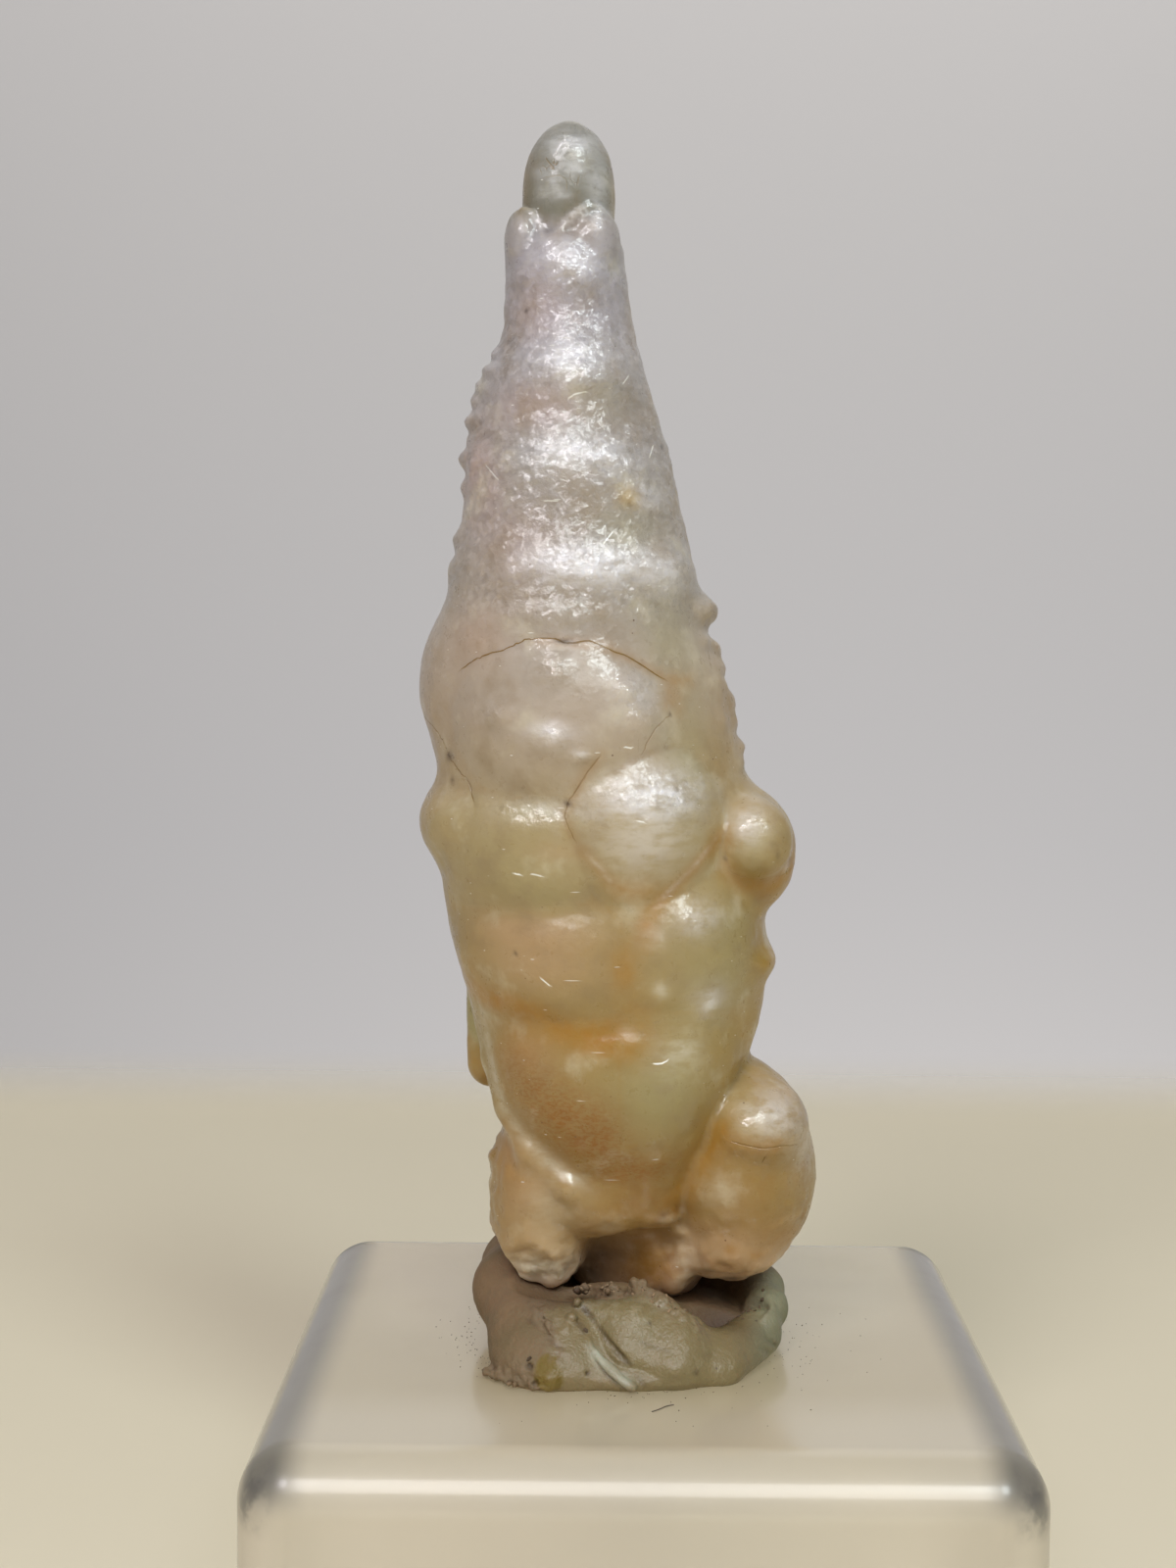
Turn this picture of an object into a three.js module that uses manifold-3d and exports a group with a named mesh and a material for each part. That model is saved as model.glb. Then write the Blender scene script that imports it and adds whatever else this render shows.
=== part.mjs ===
// Opal specimen on a stand: a pearly, lobed opal stalactite, set upright in a wad of
// mineral tack on a clear acrylic block. Millimetres, +Z up, origin at the centre of
// the block's underside. The opal and the tack are given by distance fields, negative
// inside, in which z is the height above the block's top face.
import * as THREE from "three";
import { mergeVertices } from "three/addons/utils/BufferGeometryUtils.js";
import { RoundedBoxGeometry } from "three/addons/geometries/RoundedBoxGeometry.js";
import Module from "manifold-3d";

// Driving dimensions.
const blockWidth = 42.2;
const blockHeight = 12.7;
const blockEdgeRadius = 3;
const blockEdgeSteps = 4;
const tipHeight = 71.05;
const tipRadius = 2.62;
const collarHeight = 64.4;
const seatGap = 0.4;
const opalCell = 1.15;
const tackCell = 0.9;

// Boxes that the opal and the tack are looked for in.
const opalBox = { low: [-15, -11.5, -0.5], high: [12.5, 11, tipHeight + 1.5] };
const tackBox = { low: [-12, -12, -3.2], high: [11, 10.5, 8] };

// Sections of the opal's body from its collar down to the foot of its front sac.
const bodySections = [
  { height: 66.5, left: -7.6, right: -2.0, front: -3.7, back: 1.6 },
  { height: 64.0, left: -8.15, right: -1.5, front: -4.1, back: 2.0 },
  { height: 61.0, left: -8.25, right: -1.1, front: -4.4, back: 2.3 },
  { height: 58.6, left: -8.45, right: -0.65, front: -4.8, back: 2.9 },
  { height: 55.5, left: -9.75, right: 0.25, front: -5.6, back: 3.7 },
  { height: 52.0, left: -10.3, right: 1.25, front: -6.1, back: 4.2 },
  { height: 48.0, left: -10.75, right: 2.25, front: -6.8, back: 4.9 },
  { height: 44.0, left: -11.6, right: 3.15, front: -7.4, back: 5.6 },
  { height: 42.0, left: -12.1, right: 3.6, front: -7.7, back: 6.0 },
  { height: 40.0, left: -12.5, right: 4.4, front: -7.9, back: 6.3 },
  { height: 36.0, left: -12.3, right: 5.4, front: -8.1, back: 6.9 },
  { height: 32.0, left: -12.0, right: 6.3, front: -8.1, back: 7.3 },
  { height: 28.0, left: -11.9, right: 6.9, front: -7.9, back: 7.5 },
  { height: 24.0, left: -11.3, right: 7.25, front: -7.9, back: 7.5 },
  { height: 20.0, left: -10.1, right: 7.1, front: -7.9, back: 7.2 },
  { height: 17.0, left: -9.35, right: 6.2, front: -7.8, back: 6.6 },
  { height: 14.2, left: -8.5, right: 5.1, front: -7.5, back: 5.8 },
  { height: 12.0, left: -7.0, right: 4.2, front: -7.1, back: 4.4 },
  { height: 10.0, left: -5.0, right: 3.5, front: -6.6, back: 2.6 },
  { height: 7.7, left: -4.2, right: 3.0, front: -6.0, back: 1.2 },
];

// Broad low domes that meet in creases: centre x and z, half sizes, rise.
const frontDomes = [
  { x: -4.65, z: 36.9, wide: 6.0, tall: 4.8, rise: 1.05 },
  { x: -0.2, z: 31.2, wide: 4.7, tall: 4.5, rise: 1.3 },
  { x: -7.6, z: 29.3, wide: 5.1, tall: 3.6, rise: 1.05 },
  { x: -6.2, z: 23.3, wide: 5.8, tall: 3.8, rise: 1.0 },
  { x: 2.9, z: 24.2, wide: 4.3, tall: 3.8, rise: 0.8 },
  { x: -5.0, z: 15.8, wide: 5.0, tall: 4.8, rise: 0.8 },
  { x: 1.9, z: 15.9, wide: 4.2, tall: 5.2, rise: 0.85 },
];
const backDomes = [
  { x: -4.6, z: 60.0, wide: 4.2, tall: 4.2, rise: 0.6 },
  { x: -3.6, z: 52.2, wide: 5.0, tall: 4.4, rise: 0.8 },
  { x: -6.6, z: 45.4, wide: 4.6, tall: 4.2, rise: 0.9 },
  { x: -0.6, z: 43.4, wide: 4.6, tall: 5.0, rise: 0.9 },
  { x: -7.4, z: 36.4, wide: 5.0, tall: 4.8, rise: 1.1 },
  { x: 1.2, z: 34.2, wide: 5.2, tall: 4.6, rise: 1.2 },
  { x: -4.2, z: 28.4, wide: 5.4, tall: 4.6, rise: 1.1 },
  { x: 4.0, z: 26.0, wide: 4.2, tall: 4.2, rise: 1.0 },
  { x: -6.0, z: 20.0, wide: 5.0, tall: 4.2, rise: 1.0 },
  { x: 1.4, z: 18.4, wide: 5.2, tall: 4.6, rise: 1.1 },
  { x: -2.4, z: 11.4, wide: 5.4, tall: 4.6, rise: 1.0 },
];
const domeFloor = -0.15;
const domeCrease = 0.12;
// Share of the half depth at which the domes begin to rise, and at which they stand full.
const domeStart = 0.12;
const domeFull = 0.62;
// How softly the body ends at its collar and at the foot of its sac.
const collarTopBlend = 0.8;
const sacFootBlend = 1.2;

// Soft swellings on the front face.
const swellings = [
  { x: -4.7, z: 62.3, wide: 3.0, tall: 1.6, rise: 0.5 },
  { x: -4.3, z: 57.0, wide: 3.4, tall: 1.9, rise: 0.6 },
  { x: -4.2, z: 51.3, wide: 4.6, tall: 1.9, rise: 0.65 },
  { x: -3.4, z: 45.6, wide: 4.4, tall: 1.4, rise: 0.5 },
  { x: 1.2, z: 45.4, wide: 1.8, tall: 1.5, rise: 0.5 },
  { x: -5.2, z: 43.0, wide: 3.2, tall: 0.9, rise: 0.35 },
  { x: 2.9, z: 26.2, wide: 1.4, tall: 1.1, rise: 0.35 },
  { x: 3.4, z: 20.8, wide: 1.3, tall: 1.1, rise: 0.35 },
  { x: -1.2, z: 18.9, wide: 1.1, tall: 0.9, rise: 0.24 },
];

// Lobes that stand out of the body; blend is the reach of the soft joint.
const lobes = [
  { name: "left shoulder", centre: [-9.6, 0.6, 38.9], radii: [3.5, 4.6, 4.4], blend: 1.6 },
  { name: "left hip", centre: [-9.4, -0.4, 30.8], radii: [3.75, 5.2, 3.2], blend: 0.9 },
  { name: "knob shoulder", centre: [5.15, -0.8, 30.5], radii: [3.55, 3.6, 2.9], tilt: 25, blend: 1.0 },
  { name: "knob back", centre: [5.3, -0.8, 28.9], radii: [3.6, 4.2, 3.6], blend: 0.8 },
  { name: "knob", centre: [6.2, -3.9, 30.2], radii: [2.3, 2.5, 2.4], blend: 0.7 },
  { name: "side bump", centre: [2.9, -0.6, 43.2], radii: [1.25, 2.4, 0.95], blend: 0.8 },
  { name: "hip point", centre: [6.3, -0.8, 22.7], radii: [1.5, 3.2, 1.2], blend: 0.9 },
  { name: "left foot", centre: [-5.75, -1.8, 9.6], radii: [3.15, 4.8, 5.1], blend: 1.2 },
  { name: "left toe", centre: [-5.5, -2.2, 6.6], radii: [2.9, 4.3, 2.3], blend: 1.0 },
  { name: "web", centre: [-3.2, -3.0, 9.4], radii: [2.6, 3.6, 2.3], tilt: 20, blend: 1.4 },
  { name: "right haunch", centre: [5.75, -0.8, 10.3], radii: [4.6, 5.8, 5.9], blend: 0.7 },
  { name: "right toe", centre: [5.2, -1.0, 6.4], radii: [3.2, 4.6, 2.4], blend: 1.0 },
  { name: "haunch ball", centre: [6.35, -2.7, 13.4], radii: [3.35, 4.3, 3.0], blend: 0.6 },
  { name: "column", centre: [2.4, -1.4, 5.6], radii: [1.1, 1.4, 2.6], blend: 0.7 },
  { name: "back foot", centre: [1.2, 3.2, 12.6], radii: [4.6, 4.4, 5.2], blend: 0.8 },
];

// Stem behind the sac, which goes down into the tack.
const stem = { start: [-0.6, 1.6, 16], startRadius: 6.2, end: [-0.1, 1.8, 5.6], endRadius: 4.7, blend: 1.4 };

// Upright flake behind the left side, and the raised rim along the sac's lower left edge.
const flakeRolls = [
  { start: [-9.05, 2.4, 20.8], startRadius: 1.5, end: [-9.05, 2.2, 15.9], endRadius: 1.45 },
  { start: [-8.6, 4.6, 20.4], startRadius: 1.6, end: [-8.4, 4.2, 17.0], endRadius: 1.3 },
];
const flakeBlend = 0.4;
const rimPoints = [
  [-9.0, -0.6, 19.6],
  [-8.55, -2.0, 17.0],
  [-7.75, -3.9, 14.6],
  [-6.4, -5.6, 12.3],
  [-4.2, -6.2, 10.4],
  [-2.4, -5.8, 9.2],
];
const rimRadius = 0.62;
const rimBlend = 0.7;

// The glassy nub at the tip, and the scalloped collar it comes out of.
const nubCentre = [-4.62, -1.0];
const nubFootHeight = 62;
const nubCapHeight = 3.86;
const nubCapOverlap = 0.7;
const nubBlend = 0.3;
const collarLobes = [
  { centre: [-7.1, -1.8, 64.1], radii: [1.15, 1.8, 1.9] },
  { centre: [-3.5, -2.2, 63.6], radii: [1.95, 1.85, 2.3] },
  { centre: [-5.0, 0.9, 64.3], radii: [2.3, 1.6, 1.6] },
];
const collarBlend = 0.25;

// The tack: a pad under the opal, a roll that goes round it, and a strand folded
// across the front. Each point of a roll has a place and a radius.
const tackPads = [
  { centre: [-0.6, -0.8, 0.6], radii: [8.0, 8.3, 2.2] },
  { centre: [-4.7, -6.0, 1.3], radii: [3.9, 3.3, 2.7] },
  { centre: [-1.6, -4.2, 1.9], radii: [4.4, 2.6, 2.3] },
];
const tackRoll = [
  { at: [-6.3, -4.6, 1.9], radius: 2.5 },
  { at: [-7.3, -1.0, 2.9], radius: 2.45 },
  { at: [-7.0, 2.2, 3.2], radius: 2.4 },
  { at: [-4.0, 5.6, 3.0], radius: 2.3 },
  { at: [1.5, 6.3, 2.8], radius: 2.1 },
  { at: [5.6, 4.2, 2.6], radius: 1.9 },
  { at: [7.2, 1.0, 2.3], radius: 1.45 },
  { at: [7.5, -2.0, 2.2], radius: 1.15 },
  { at: [6.9, -3.8, 1.8], radius: 1.3 },
];
const tackStrand = [
  { at: [-3.0, -6.7, 3.1], radius: 1.0 },
  { at: [-0.6, -7.3, 2.4], radius: 1.75 },
  { at: [1.8, -7.2, 1.6], radius: 2.0 },
  { at: [4.6, -5.9, 1.3], radius: 1.8 },
  { at: [6.9, -3.8, 1.5], radius: 1.5 },
];
// The front has spread forwards at its foot, from footBack towards the viewer.
const footReach = 1.5;
const footBack = -3;
const footDepth = 6;
const footTop = 3.6;
const strandCrest = { centre: [0.5, -6.2, 3.2], radii: [1.7, 1.2, 1.2] };
const tackBlend = 0.8;
const strandBlend = 0.5;
const foldCrease = 0.08;
const seatBlend = 0.6;

const colours = { opal: 0xc4b79c, tack: 0x85795a, block: 0xe9e7df };

// Soft minimum and maximum of two distances.
function join(a, b, reach) {
  const h = THREE.MathUtils.clamp(0.5 + (0.5 * (b - a)) / reach, 0, 1);
  return b + (a - b) * h - reach * h * (1 - h);
}

function cut(a, b, reach) {
  return -join(-a, -b, reach);
}

function ellipsoid(x, y, z, { centre, radii, tilt = 0 }) {
  const angle = THREE.MathUtils.degToRad(tilt);
  const dx = x - centre[0];
  const dy = y - centre[1];
  const dz = z - centre[2];
  const turnedX = Math.cos(angle) * dx - Math.sin(angle) * dz;
  const turnedZ = Math.sin(angle) * dx + Math.cos(angle) * dz;
  const near = Math.hypot(turnedX / radii[0], dy / radii[1], turnedZ / radii[2]);
  const slope = Math.hypot(turnedX / radii[0] ** 2, dy / radii[1] ** 2, turnedZ / radii[2] ** 2);
  return (near * (near - 1)) / (slope + 1e-9);
}

// Distance to a round bar whose radius changes evenly from one end to the other.
function bar(x, y, z, start, startRadius, end, endRadius) {
  const axis = end.map((value, i) => value - start[i]);
  const from = [x - start[0], y - start[1], z - start[2]];
  const along = from[0] * axis[0] + from[1] * axis[1] + from[2] * axis[2];
  const t = THREE.MathUtils.clamp(along / (axis[0] ** 2 + axis[1] ** 2 + axis[2] ** 2), 0, 1);
  const off = Math.hypot(from[0] - t * axis[0], from[1] - t * axis[1], from[2] - t * axis[2]);
  return off - THREE.MathUtils.lerp(startRadius, endRadius, t);
}

// One side of the body's section at height z, as a smooth curve through the sections.
function sideAt(z, side) {
  const rows = [...bodySections].reverse();
  const last = rows.length - 1;
  let i = 0;
  while (i < last - 1 && z > rows[i + 1].height) i += 1;
  const slopeAt = (n) => {
    const a = rows[Math.max(n - 1, 0)];
    const b = rows[Math.min(n + 1, last)];
    return (b[side] - a[side]) / (b.height - a.height);
  };
  const span = rows[i + 1].height - rows[i].height;
  const t = THREE.MathUtils.clamp((z - rows[i].height) / span, 0, 1);
  const ends = (2 * t ** 3 - 3 * t ** 2) * (rows[i][side] - rows[i + 1][side]) + rows[i][side];
  const bends = (t ** 3 - 2 * t ** 2 + t) * slopeAt(i) + (t ** 3 - t ** 2) * slopeAt(i + 1);
  return ends + span * bends;
}

// The sections are looked up once for each height that is asked for.
const sectionCache = new Map();
function sectionAt(z) {
  if (!sectionCache.has(z)) {
    const [left, right, front, back] = ["left", "right", "front", "back"].map((side) => sideAt(z, side));
    sectionCache.set(z, {
      x: (left + right) / 2,
      y: (front + back) / 2,
      halfWidth: (right - left) / 2,
      halfDepth: (back - front) / 2,
    });
  }
  return sectionCache.get(z);
}

function domeRelief(x, z, domes) {
  let relief = domeFloor;
  for (const { x: x0, z: z0, wide, tall, rise } of domes) {
    const dome = rise * (1 - ((x - x0) / wide) ** 2 - ((z - z0) / tall) ** 2);
    relief = cut(relief, dome, domeCrease);
  }
  return relief;
}

function swellRelief(x, z) {
  let relief = 0;
  for (const { x: x0, z: z0, wide, tall, rise } of swellings) {
    relief += rise * Math.exp(-(((x - x0) / wide) ** 2) - ((z - z0) / tall) ** 2);
  }
  return relief;
}

function bodyField(x, y, z) {
  const section = sectionAt(z);
  const qx = x - section.x;
  const qy = y - section.y;
  const near = Math.hypot(qx / section.halfWidth, qy / section.halfDepth);
  const slope = Math.hypot(qx / section.halfWidth ** 2, qy / section.halfDepth ** 2);
  const depth = qy / section.halfDepth;
  const front = THREE.MathUtils.smoothstep(-depth, domeStart, domeFull);
  const back = THREE.MathUtils.smoothstep(depth, domeStart, domeFull);
  let d = (near * (near - 1)) / (slope + 1e-9);
  d -= front * (domeRelief(x, z, frontDomes) + swellRelief(x, z));
  d -= back * domeRelief(x, z, backDomes);
  d = cut(d, z - collarHeight, collarTopBlend);
  return cut(d, bodySections.at(-1).height - z, sacFootBlend);
}

function nubField(x, y, z) {
  const foot = [...nubCentre, nubFootHeight];
  const shoulder = tipHeight - nubCapHeight;
  const stalk = bar(x, y, z, foot, tipRadius, [...nubCentre, shoulder - nubCapOverlap], tipRadius);
  const cap = { centre: [...nubCentre, shoulder], radii: [tipRadius, tipRadius, nubCapHeight] };
  return join(stalk, ellipsoid(x, y, z, cap), nubBlend);
}

function opalField(x, y, z) {
  let d = bodyField(x, y, z);
  d = join(d, bar(x, y, z, stem.start, stem.startRadius, stem.end, stem.endRadius), stem.blend);
  for (const lobe of lobes) {
    d = join(d, ellipsoid(x, y, z, lobe), lobe.blend);
  }
  for (const roll of flakeRolls) {
    d = join(d, bar(x, y, z, roll.start, roll.startRadius, roll.end, roll.endRadius), flakeBlend);
  }
  for (let i = 1; i < rimPoints.length; i += 1) {
    d = join(d, bar(x, y, z, rimPoints[i - 1], rimRadius, rimPoints[i], rimRadius), rimBlend);
  }
  d = join(d, nubField(x, y, z), collarBlend);
  for (const lobe of collarLobes) {
    d = join(d, ellipsoid(x, y, z, lobe), collarBlend);
  }
  return d;
}

function rollField(x, y, z, roll, reach) {
  let d = Infinity;
  for (let i = 1; i < roll.length; i += 1) {
    const piece = bar(x, y, z, roll[i - 1].at, roll[i - 1].radius, roll[i].at, roll[i].radius);
    d = d === Infinity ? piece : join(d, piece, reach);
  }
  return d;
}

function tackField(x, y, z) {
  const front = THREE.MathUtils.smoothstep(footBack - y, 0, footDepth);
  const along = y + footReach * front * THREE.MathUtils.smoothstep(footTop - z, 0, footTop);
  let d = rollField(x, along, z, tackRoll, tackBlend);
  for (const pad of tackPads) {
    d = join(d, ellipsoid(x, along, z, pad), tackBlend);
  }
  const strand = rollField(x, along, z, tackStrand, strandBlend);
  d = join(d, join(strand, ellipsoid(x, along, z, strandCrest), strandBlend), foldCrease);
  return cut(d, seatGap - opalField(x, y, z), seatBlend);
}

// The two ends of each of a cell's twelve edges, as corner offsets.
const cellEdges = [];
for (const a of [0, 1]) {
  for (const b of [0, 1]) {
    cellEdges.push([[0, a, b], [1, a, b]], [[a, 0, b], [a, 1, b]], [[a, b, 0], [a, b, 1]]);
  }
}

// Where only two opposite corners of a grid face are inside, the skin would touch itself
// there. The corner nearest to the surface changes sides until no such face is left.
function settleFaces(values, at, each, count) {
  let changed = true;
  while (changed) {
    changed = false;
    each((i, j, k) => {
      for (const [u, v] of [[0, 1], [1, 2], [2, 0]]) {
        const corners = [[0, 0], [1, 0], [1, 1], [0, 1]].map(([du, dv]) => {
          const corner = [i, j, k];
          corner[u] += du;
          corner[v] += dv;
          return corner;
        });
        if (corners[2].some((value, axis) => value >= count[axis])) continue;
        const places = corners.map((corner) => at(...corner));
        const inside = places.map((place) => values[place] < 0);
        if (inside[0] !== inside[2] || inside[1] !== inside[3] || inside[0] === inside[1]) continue;
        const nearest = places.reduce((a, b) => (Math.abs(values[a]) < Math.abs(values[b]) ? a : b));
        values[nearest] = values[nearest] < 0 ? 1e-3 : -1e-3;
        changed = true;
      }
    });
  }
}

// Moves each vertex along the field's slope onto its zero surface, by part of a cell at most.
function pullToSurface(positions, field, cell) {
  const nudge = 0.05;
  const gentlest = 0.2;
  const limit = 0.35 * cell;
  for (let n = 0; n < positions.length; n += 3) {
    const [x, y, z] = positions.slice(n, n + 3);
    const slope = new THREE.Vector3(
      field(x + nudge, y, z) - field(x - nudge, y, z),
      field(x, y + nudge, z) - field(x, y - nudge, z),
      field(x, y, z + nudge) - field(x, y, z - nudge),
    ).divideScalar(2 * nudge);
    const reach = -field(x, y, z) / Math.max(slope.lengthSq(), gentlest);
    const step = slope.multiplyScalar(reach).clampLength(0, limit);
    positions[n] += step.x;
    positions[n + 1] += step.y;
    positions[n + 2] += step.z;
  }
}

// Closed mesh of a field's zero surface: one vertex in each grid cell that the surface
// crosses, and one quad round each grid edge that crosses the surface.
function skin(field, low, high, cell) {
  const count = low.map((value, i) => Math.ceil((high[i] - value) / cell) + 1);
  const at = (i, j, k) => i + count[0] * (j + count[1] * k);
  const values = new Float32Array(count[0] * count[1] * count[2]);
  const each = (visit) => {
    for (let k = 0; k < count[2]; k += 1) {
      for (let j = 0; j < count[1]; j += 1) {
        for (let i = 0; i < count[0]; i += 1) visit(i, j, k);
      }
    }
  };
  each((i, j, k) => {
    values[at(i, j, k)] = field(low[0] + i * cell, low[1] + j * cell, low[2] + k * cell);
  });
  settleFaces(values, at, each, count);

  const positions = [];
  const vertexOf = new Int32Array(values.length).fill(-1);
  each((i, j, k) => {
    if (i + 1 >= count[0] || j + 1 >= count[1] || k + 1 >= count[2]) return;
    const sum = new THREE.Vector3();
    let crossings = 0;
    for (const [a, b] of cellEdges) {
      const va = values[at(i + a[0], j + a[1], k + a[2])];
      const vb = values[at(i + b[0], j + b[1], k + b[2])];
      if (va < 0 === vb < 0) continue;
      sum.add(new THREE.Vector3(...a).lerp(new THREE.Vector3(...b), va / (va - vb)));
      crossings += 1;
    }
    if (!crossings) return;
    sum.divideScalar(crossings).add(new THREE.Vector3(i, j, k)).multiplyScalar(cell);
    vertexOf[at(i, j, k)] = positions.length / 3;
    positions.push(low[0] + sum.x, low[1] + sum.y, low[2] + sum.z);
  });

  pullToSurface(positions, field, cell);

  const triangles = [];
  const addQuad = (a, b, c, d) => {
    const point = (n) => new THREE.Vector3().fromArray(positions, 3 * n);
    if (point(a).distanceTo(point(c)) < point(b).distanceTo(point(d))) {
      triangles.push(a, b, c, a, c, d);
    } else {
      triangles.push(a, b, d, b, c, d);
    }
  };
  each((i, j, k) => {
    for (let axis = 0; axis < 3; axis += 1) {
      const next = [i, j, k];
      next[axis] += 1;
      if (next[axis] >= count[axis]) continue;
      const inside = values[at(i, j, k)] < 0;
      if (inside === values[at(...next)] < 0) continue;
      const [u, v] = [(axis + 1) % 3, (axis + 2) % 3];
      const ring = [[0, 0], [1, 0], [1, 1], [0, 1]].map(([du, dv]) => {
        const corner = [i, j, k];
        corner[u] -= du;
        corner[v] -= dv;
        return vertexOf[at(...corner)];
      });
      addQuad(...(inside ? ring : ring.reverse()));
    }
  });

  const geometry = new THREE.BufferGeometry();
  geometry.setAttribute("position", new THREE.Float32BufferAttribute(positions, 3));
  geometry.setIndex(triangles);
  return geometry;
}

const wasm = await Module();
wasm.setup();

function toSolid(geometry) {
  const bare = geometry.clone();
  bare.deleteAttribute("normal");
  bare.deleteAttribute("uv");
  const merged = mergeVertices(bare, 1e-4);
  const vertProperties = new Float32Array(merged.attributes.position.array);
  const triVerts = new Uint32Array(merged.index.array);
  return new wasm.Manifold(new wasm.Mesh({ numProp: 3, vertProperties, triVerts }));
}

function toGeometry(solid) {
  const { vertProperties, triVerts } = solid.getMesh();
  const geometry = new THREE.BufferGeometry();
  geometry.setAttribute("position", new THREE.BufferAttribute(vertProperties, 3));
  geometry.setIndex(new THREE.BufferAttribute(triVerts, 1));
  return geometry;
}

// Everything of a shape that is above z = 0.
function cutFlat(geometry, reach) {
  const space = new THREE.BoxGeometry(2 * reach, 2 * reach, reach).translate(0, 0, reach / 2);
  return toGeometry(toSolid(geometry).intersect(toSolid(space)));
}

function makeMesh(name, geometry, material) {
  geometry.computeVertexNormals();
  const mesh = new THREE.Mesh(geometry, new THREE.MeshStandardMaterial(material));
  mesh.name = name;
  return mesh;
}

function makeOpal() {
  const geometry = skin(opalField, opalBox.low, opalBox.high, opalCell);
  return makeMesh("opal", geometry, { color: colours.opal, roughness: 0.28, metalness: 0 });
}

function makeTack() {
  const whole = skin(tackField, tackBox.low, tackBox.high, tackCell);
  const standing = cutFlat(whole, blockWidth / 2);
  return makeMesh("mineral_tack", standing, { color: colours.tack, roughness: 0.7, metalness: 0 });
}

function makeBlock() {
  const size = [blockWidth, blockWidth, 2 * blockHeight];
  const twice = new RoundedBoxGeometry(...size, blockEdgeSteps, blockEdgeRadius);
  const look = { color: colours.block, roughness: 0.05, metalness: 0, transparent: true, opacity: 0.35 };
  return makeMesh("acrylic_block", cutFlat(twice, blockWidth), look);
}

const specimen = new THREE.Group();
specimen.position.z = blockHeight;
specimen.add(makeOpal(), makeTack());

const part = new THREE.Group();
part.add(makeBlock(), specimen);

export default part;
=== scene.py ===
import math
import bmesh
import bpy
import numpy as np
import openvdb as vdb
from concurrent.futures import ThreadPoolExecutor
from mathutils import Matrix, Vector, noise


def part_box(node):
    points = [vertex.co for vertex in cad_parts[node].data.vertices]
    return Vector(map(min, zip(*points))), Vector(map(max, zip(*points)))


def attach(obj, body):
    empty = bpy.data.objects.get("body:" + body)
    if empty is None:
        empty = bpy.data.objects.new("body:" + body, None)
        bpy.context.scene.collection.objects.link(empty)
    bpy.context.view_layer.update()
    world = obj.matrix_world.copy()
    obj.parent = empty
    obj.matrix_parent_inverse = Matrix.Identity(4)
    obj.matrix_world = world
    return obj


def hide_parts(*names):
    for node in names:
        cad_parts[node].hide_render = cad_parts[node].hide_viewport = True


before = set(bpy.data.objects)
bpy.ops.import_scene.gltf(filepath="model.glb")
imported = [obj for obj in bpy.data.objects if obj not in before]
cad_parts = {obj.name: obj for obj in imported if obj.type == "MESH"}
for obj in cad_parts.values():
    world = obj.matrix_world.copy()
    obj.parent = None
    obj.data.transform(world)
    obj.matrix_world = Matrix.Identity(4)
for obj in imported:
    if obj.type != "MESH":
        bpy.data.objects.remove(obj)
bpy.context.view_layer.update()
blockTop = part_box("acrylic_block")[1].z  # metres; the shapes below are in mm above it
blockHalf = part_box("acrylic_block")[1].x
print("frame loaded, block top at", round(blockTop * 1000, 2), "mm")


# shape helpers, in mm
def smooth(t):
    t = np.clip(t, 0, 1)
    return t * t * (3 - 2 * t)


def join(a, b, softness):
    h = np.clip(0.5 + 0.5 * (b - a) / softness, 0, 1)
    return b + (a - b) * h - softness * h * (1 - h)


def carve(a, b, softness):
    return -join(-a, -b, softness)


def ellipsoid(p, centre, radii, tilt=0.0):
    q = p - np.array(centre)
    if tilt:
        c, s = math.cos(math.radians(tilt)), math.sin(math.radians(tilt))
        q = np.stack([c * q[:, 0] - s * q[:, 2], q[:, 1], s * q[:, 0] + c * q[:, 2]], 1)
    r = np.array(radii)
    near = np.linalg.norm(q / r, axis=1)
    return near * (near - 1) / (np.linalg.norm(q / (r * r), axis=1) + 1e-9)


def roll(p, start, startRadius, end, endRadius):
    a, b = np.array(start, float), np.array(end, float)
    t = np.clip((p - a) @ (b - a) / ((b - a) @ (b - a)), 0, 1)
    radius = startRadius + (endRadius - startRadius) * t
    return np.linalg.norm(p - a - t[:, None] * (b - a), axis=1) - radius


def joinRolls(d, p, points):
    for (start, startRadius, _), (end, endRadius, softness) in zip(points, points[1:]):
        d = join(d, roll(p, start, startRadius, end, endRadius), softness)
    return d


def pathDistance(p, path):
    best = np.full(len(p), 1e3)
    side = np.ones(len(p))
    along = np.zeros(len(p))
    total = 0.0
    for a, b in zip(path, path[1:]):
        a, b = np.array(a, float), np.array(b, float)
        ab = b - a
        t = np.clip((p - a) @ ab / (ab @ ab), 0, 1)
        off = p - a - t[:, None] * ab
        d = np.linalg.norm(off, axis=1)
        cross = ab[2] * off[:, 0] - ab[0] * off[:, 2]
        closer = d < best
        best = np.where(closer, d, best)
        side = np.where(closer, np.where(cross < 0, -1.0, 1.0), side)
        length = np.linalg.norm(ab)
        along = np.where(closer, total + t * length, along)
        total += length
    return best, side, along / total


def noiseAt(points, size, shift=0.0):
    return np.array([noise.noise(Vector(q)) for q in points / size + shift])


def lumpsAt(points, size):
    return np.array([noise.voronoi(Vector(q))[0][0] for q in points / size])


def slopeOf(field, p):
    step = 0.05
    g = np.zeros_like(p)
    for axis in range(3):
        h = np.zeros(3)
        h[axis] = step
        g[:, axis] = (sample(field, p + h) - sample(field, p - h)) / (2 * step)
    return g


def sample(field, points):
    parts = np.array_split(points, max(1, len(points) // 30000))
    with ThreadPoolExecutor(4) as workers:
        return np.concatenate(list(workers.map(field, parts)))


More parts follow.
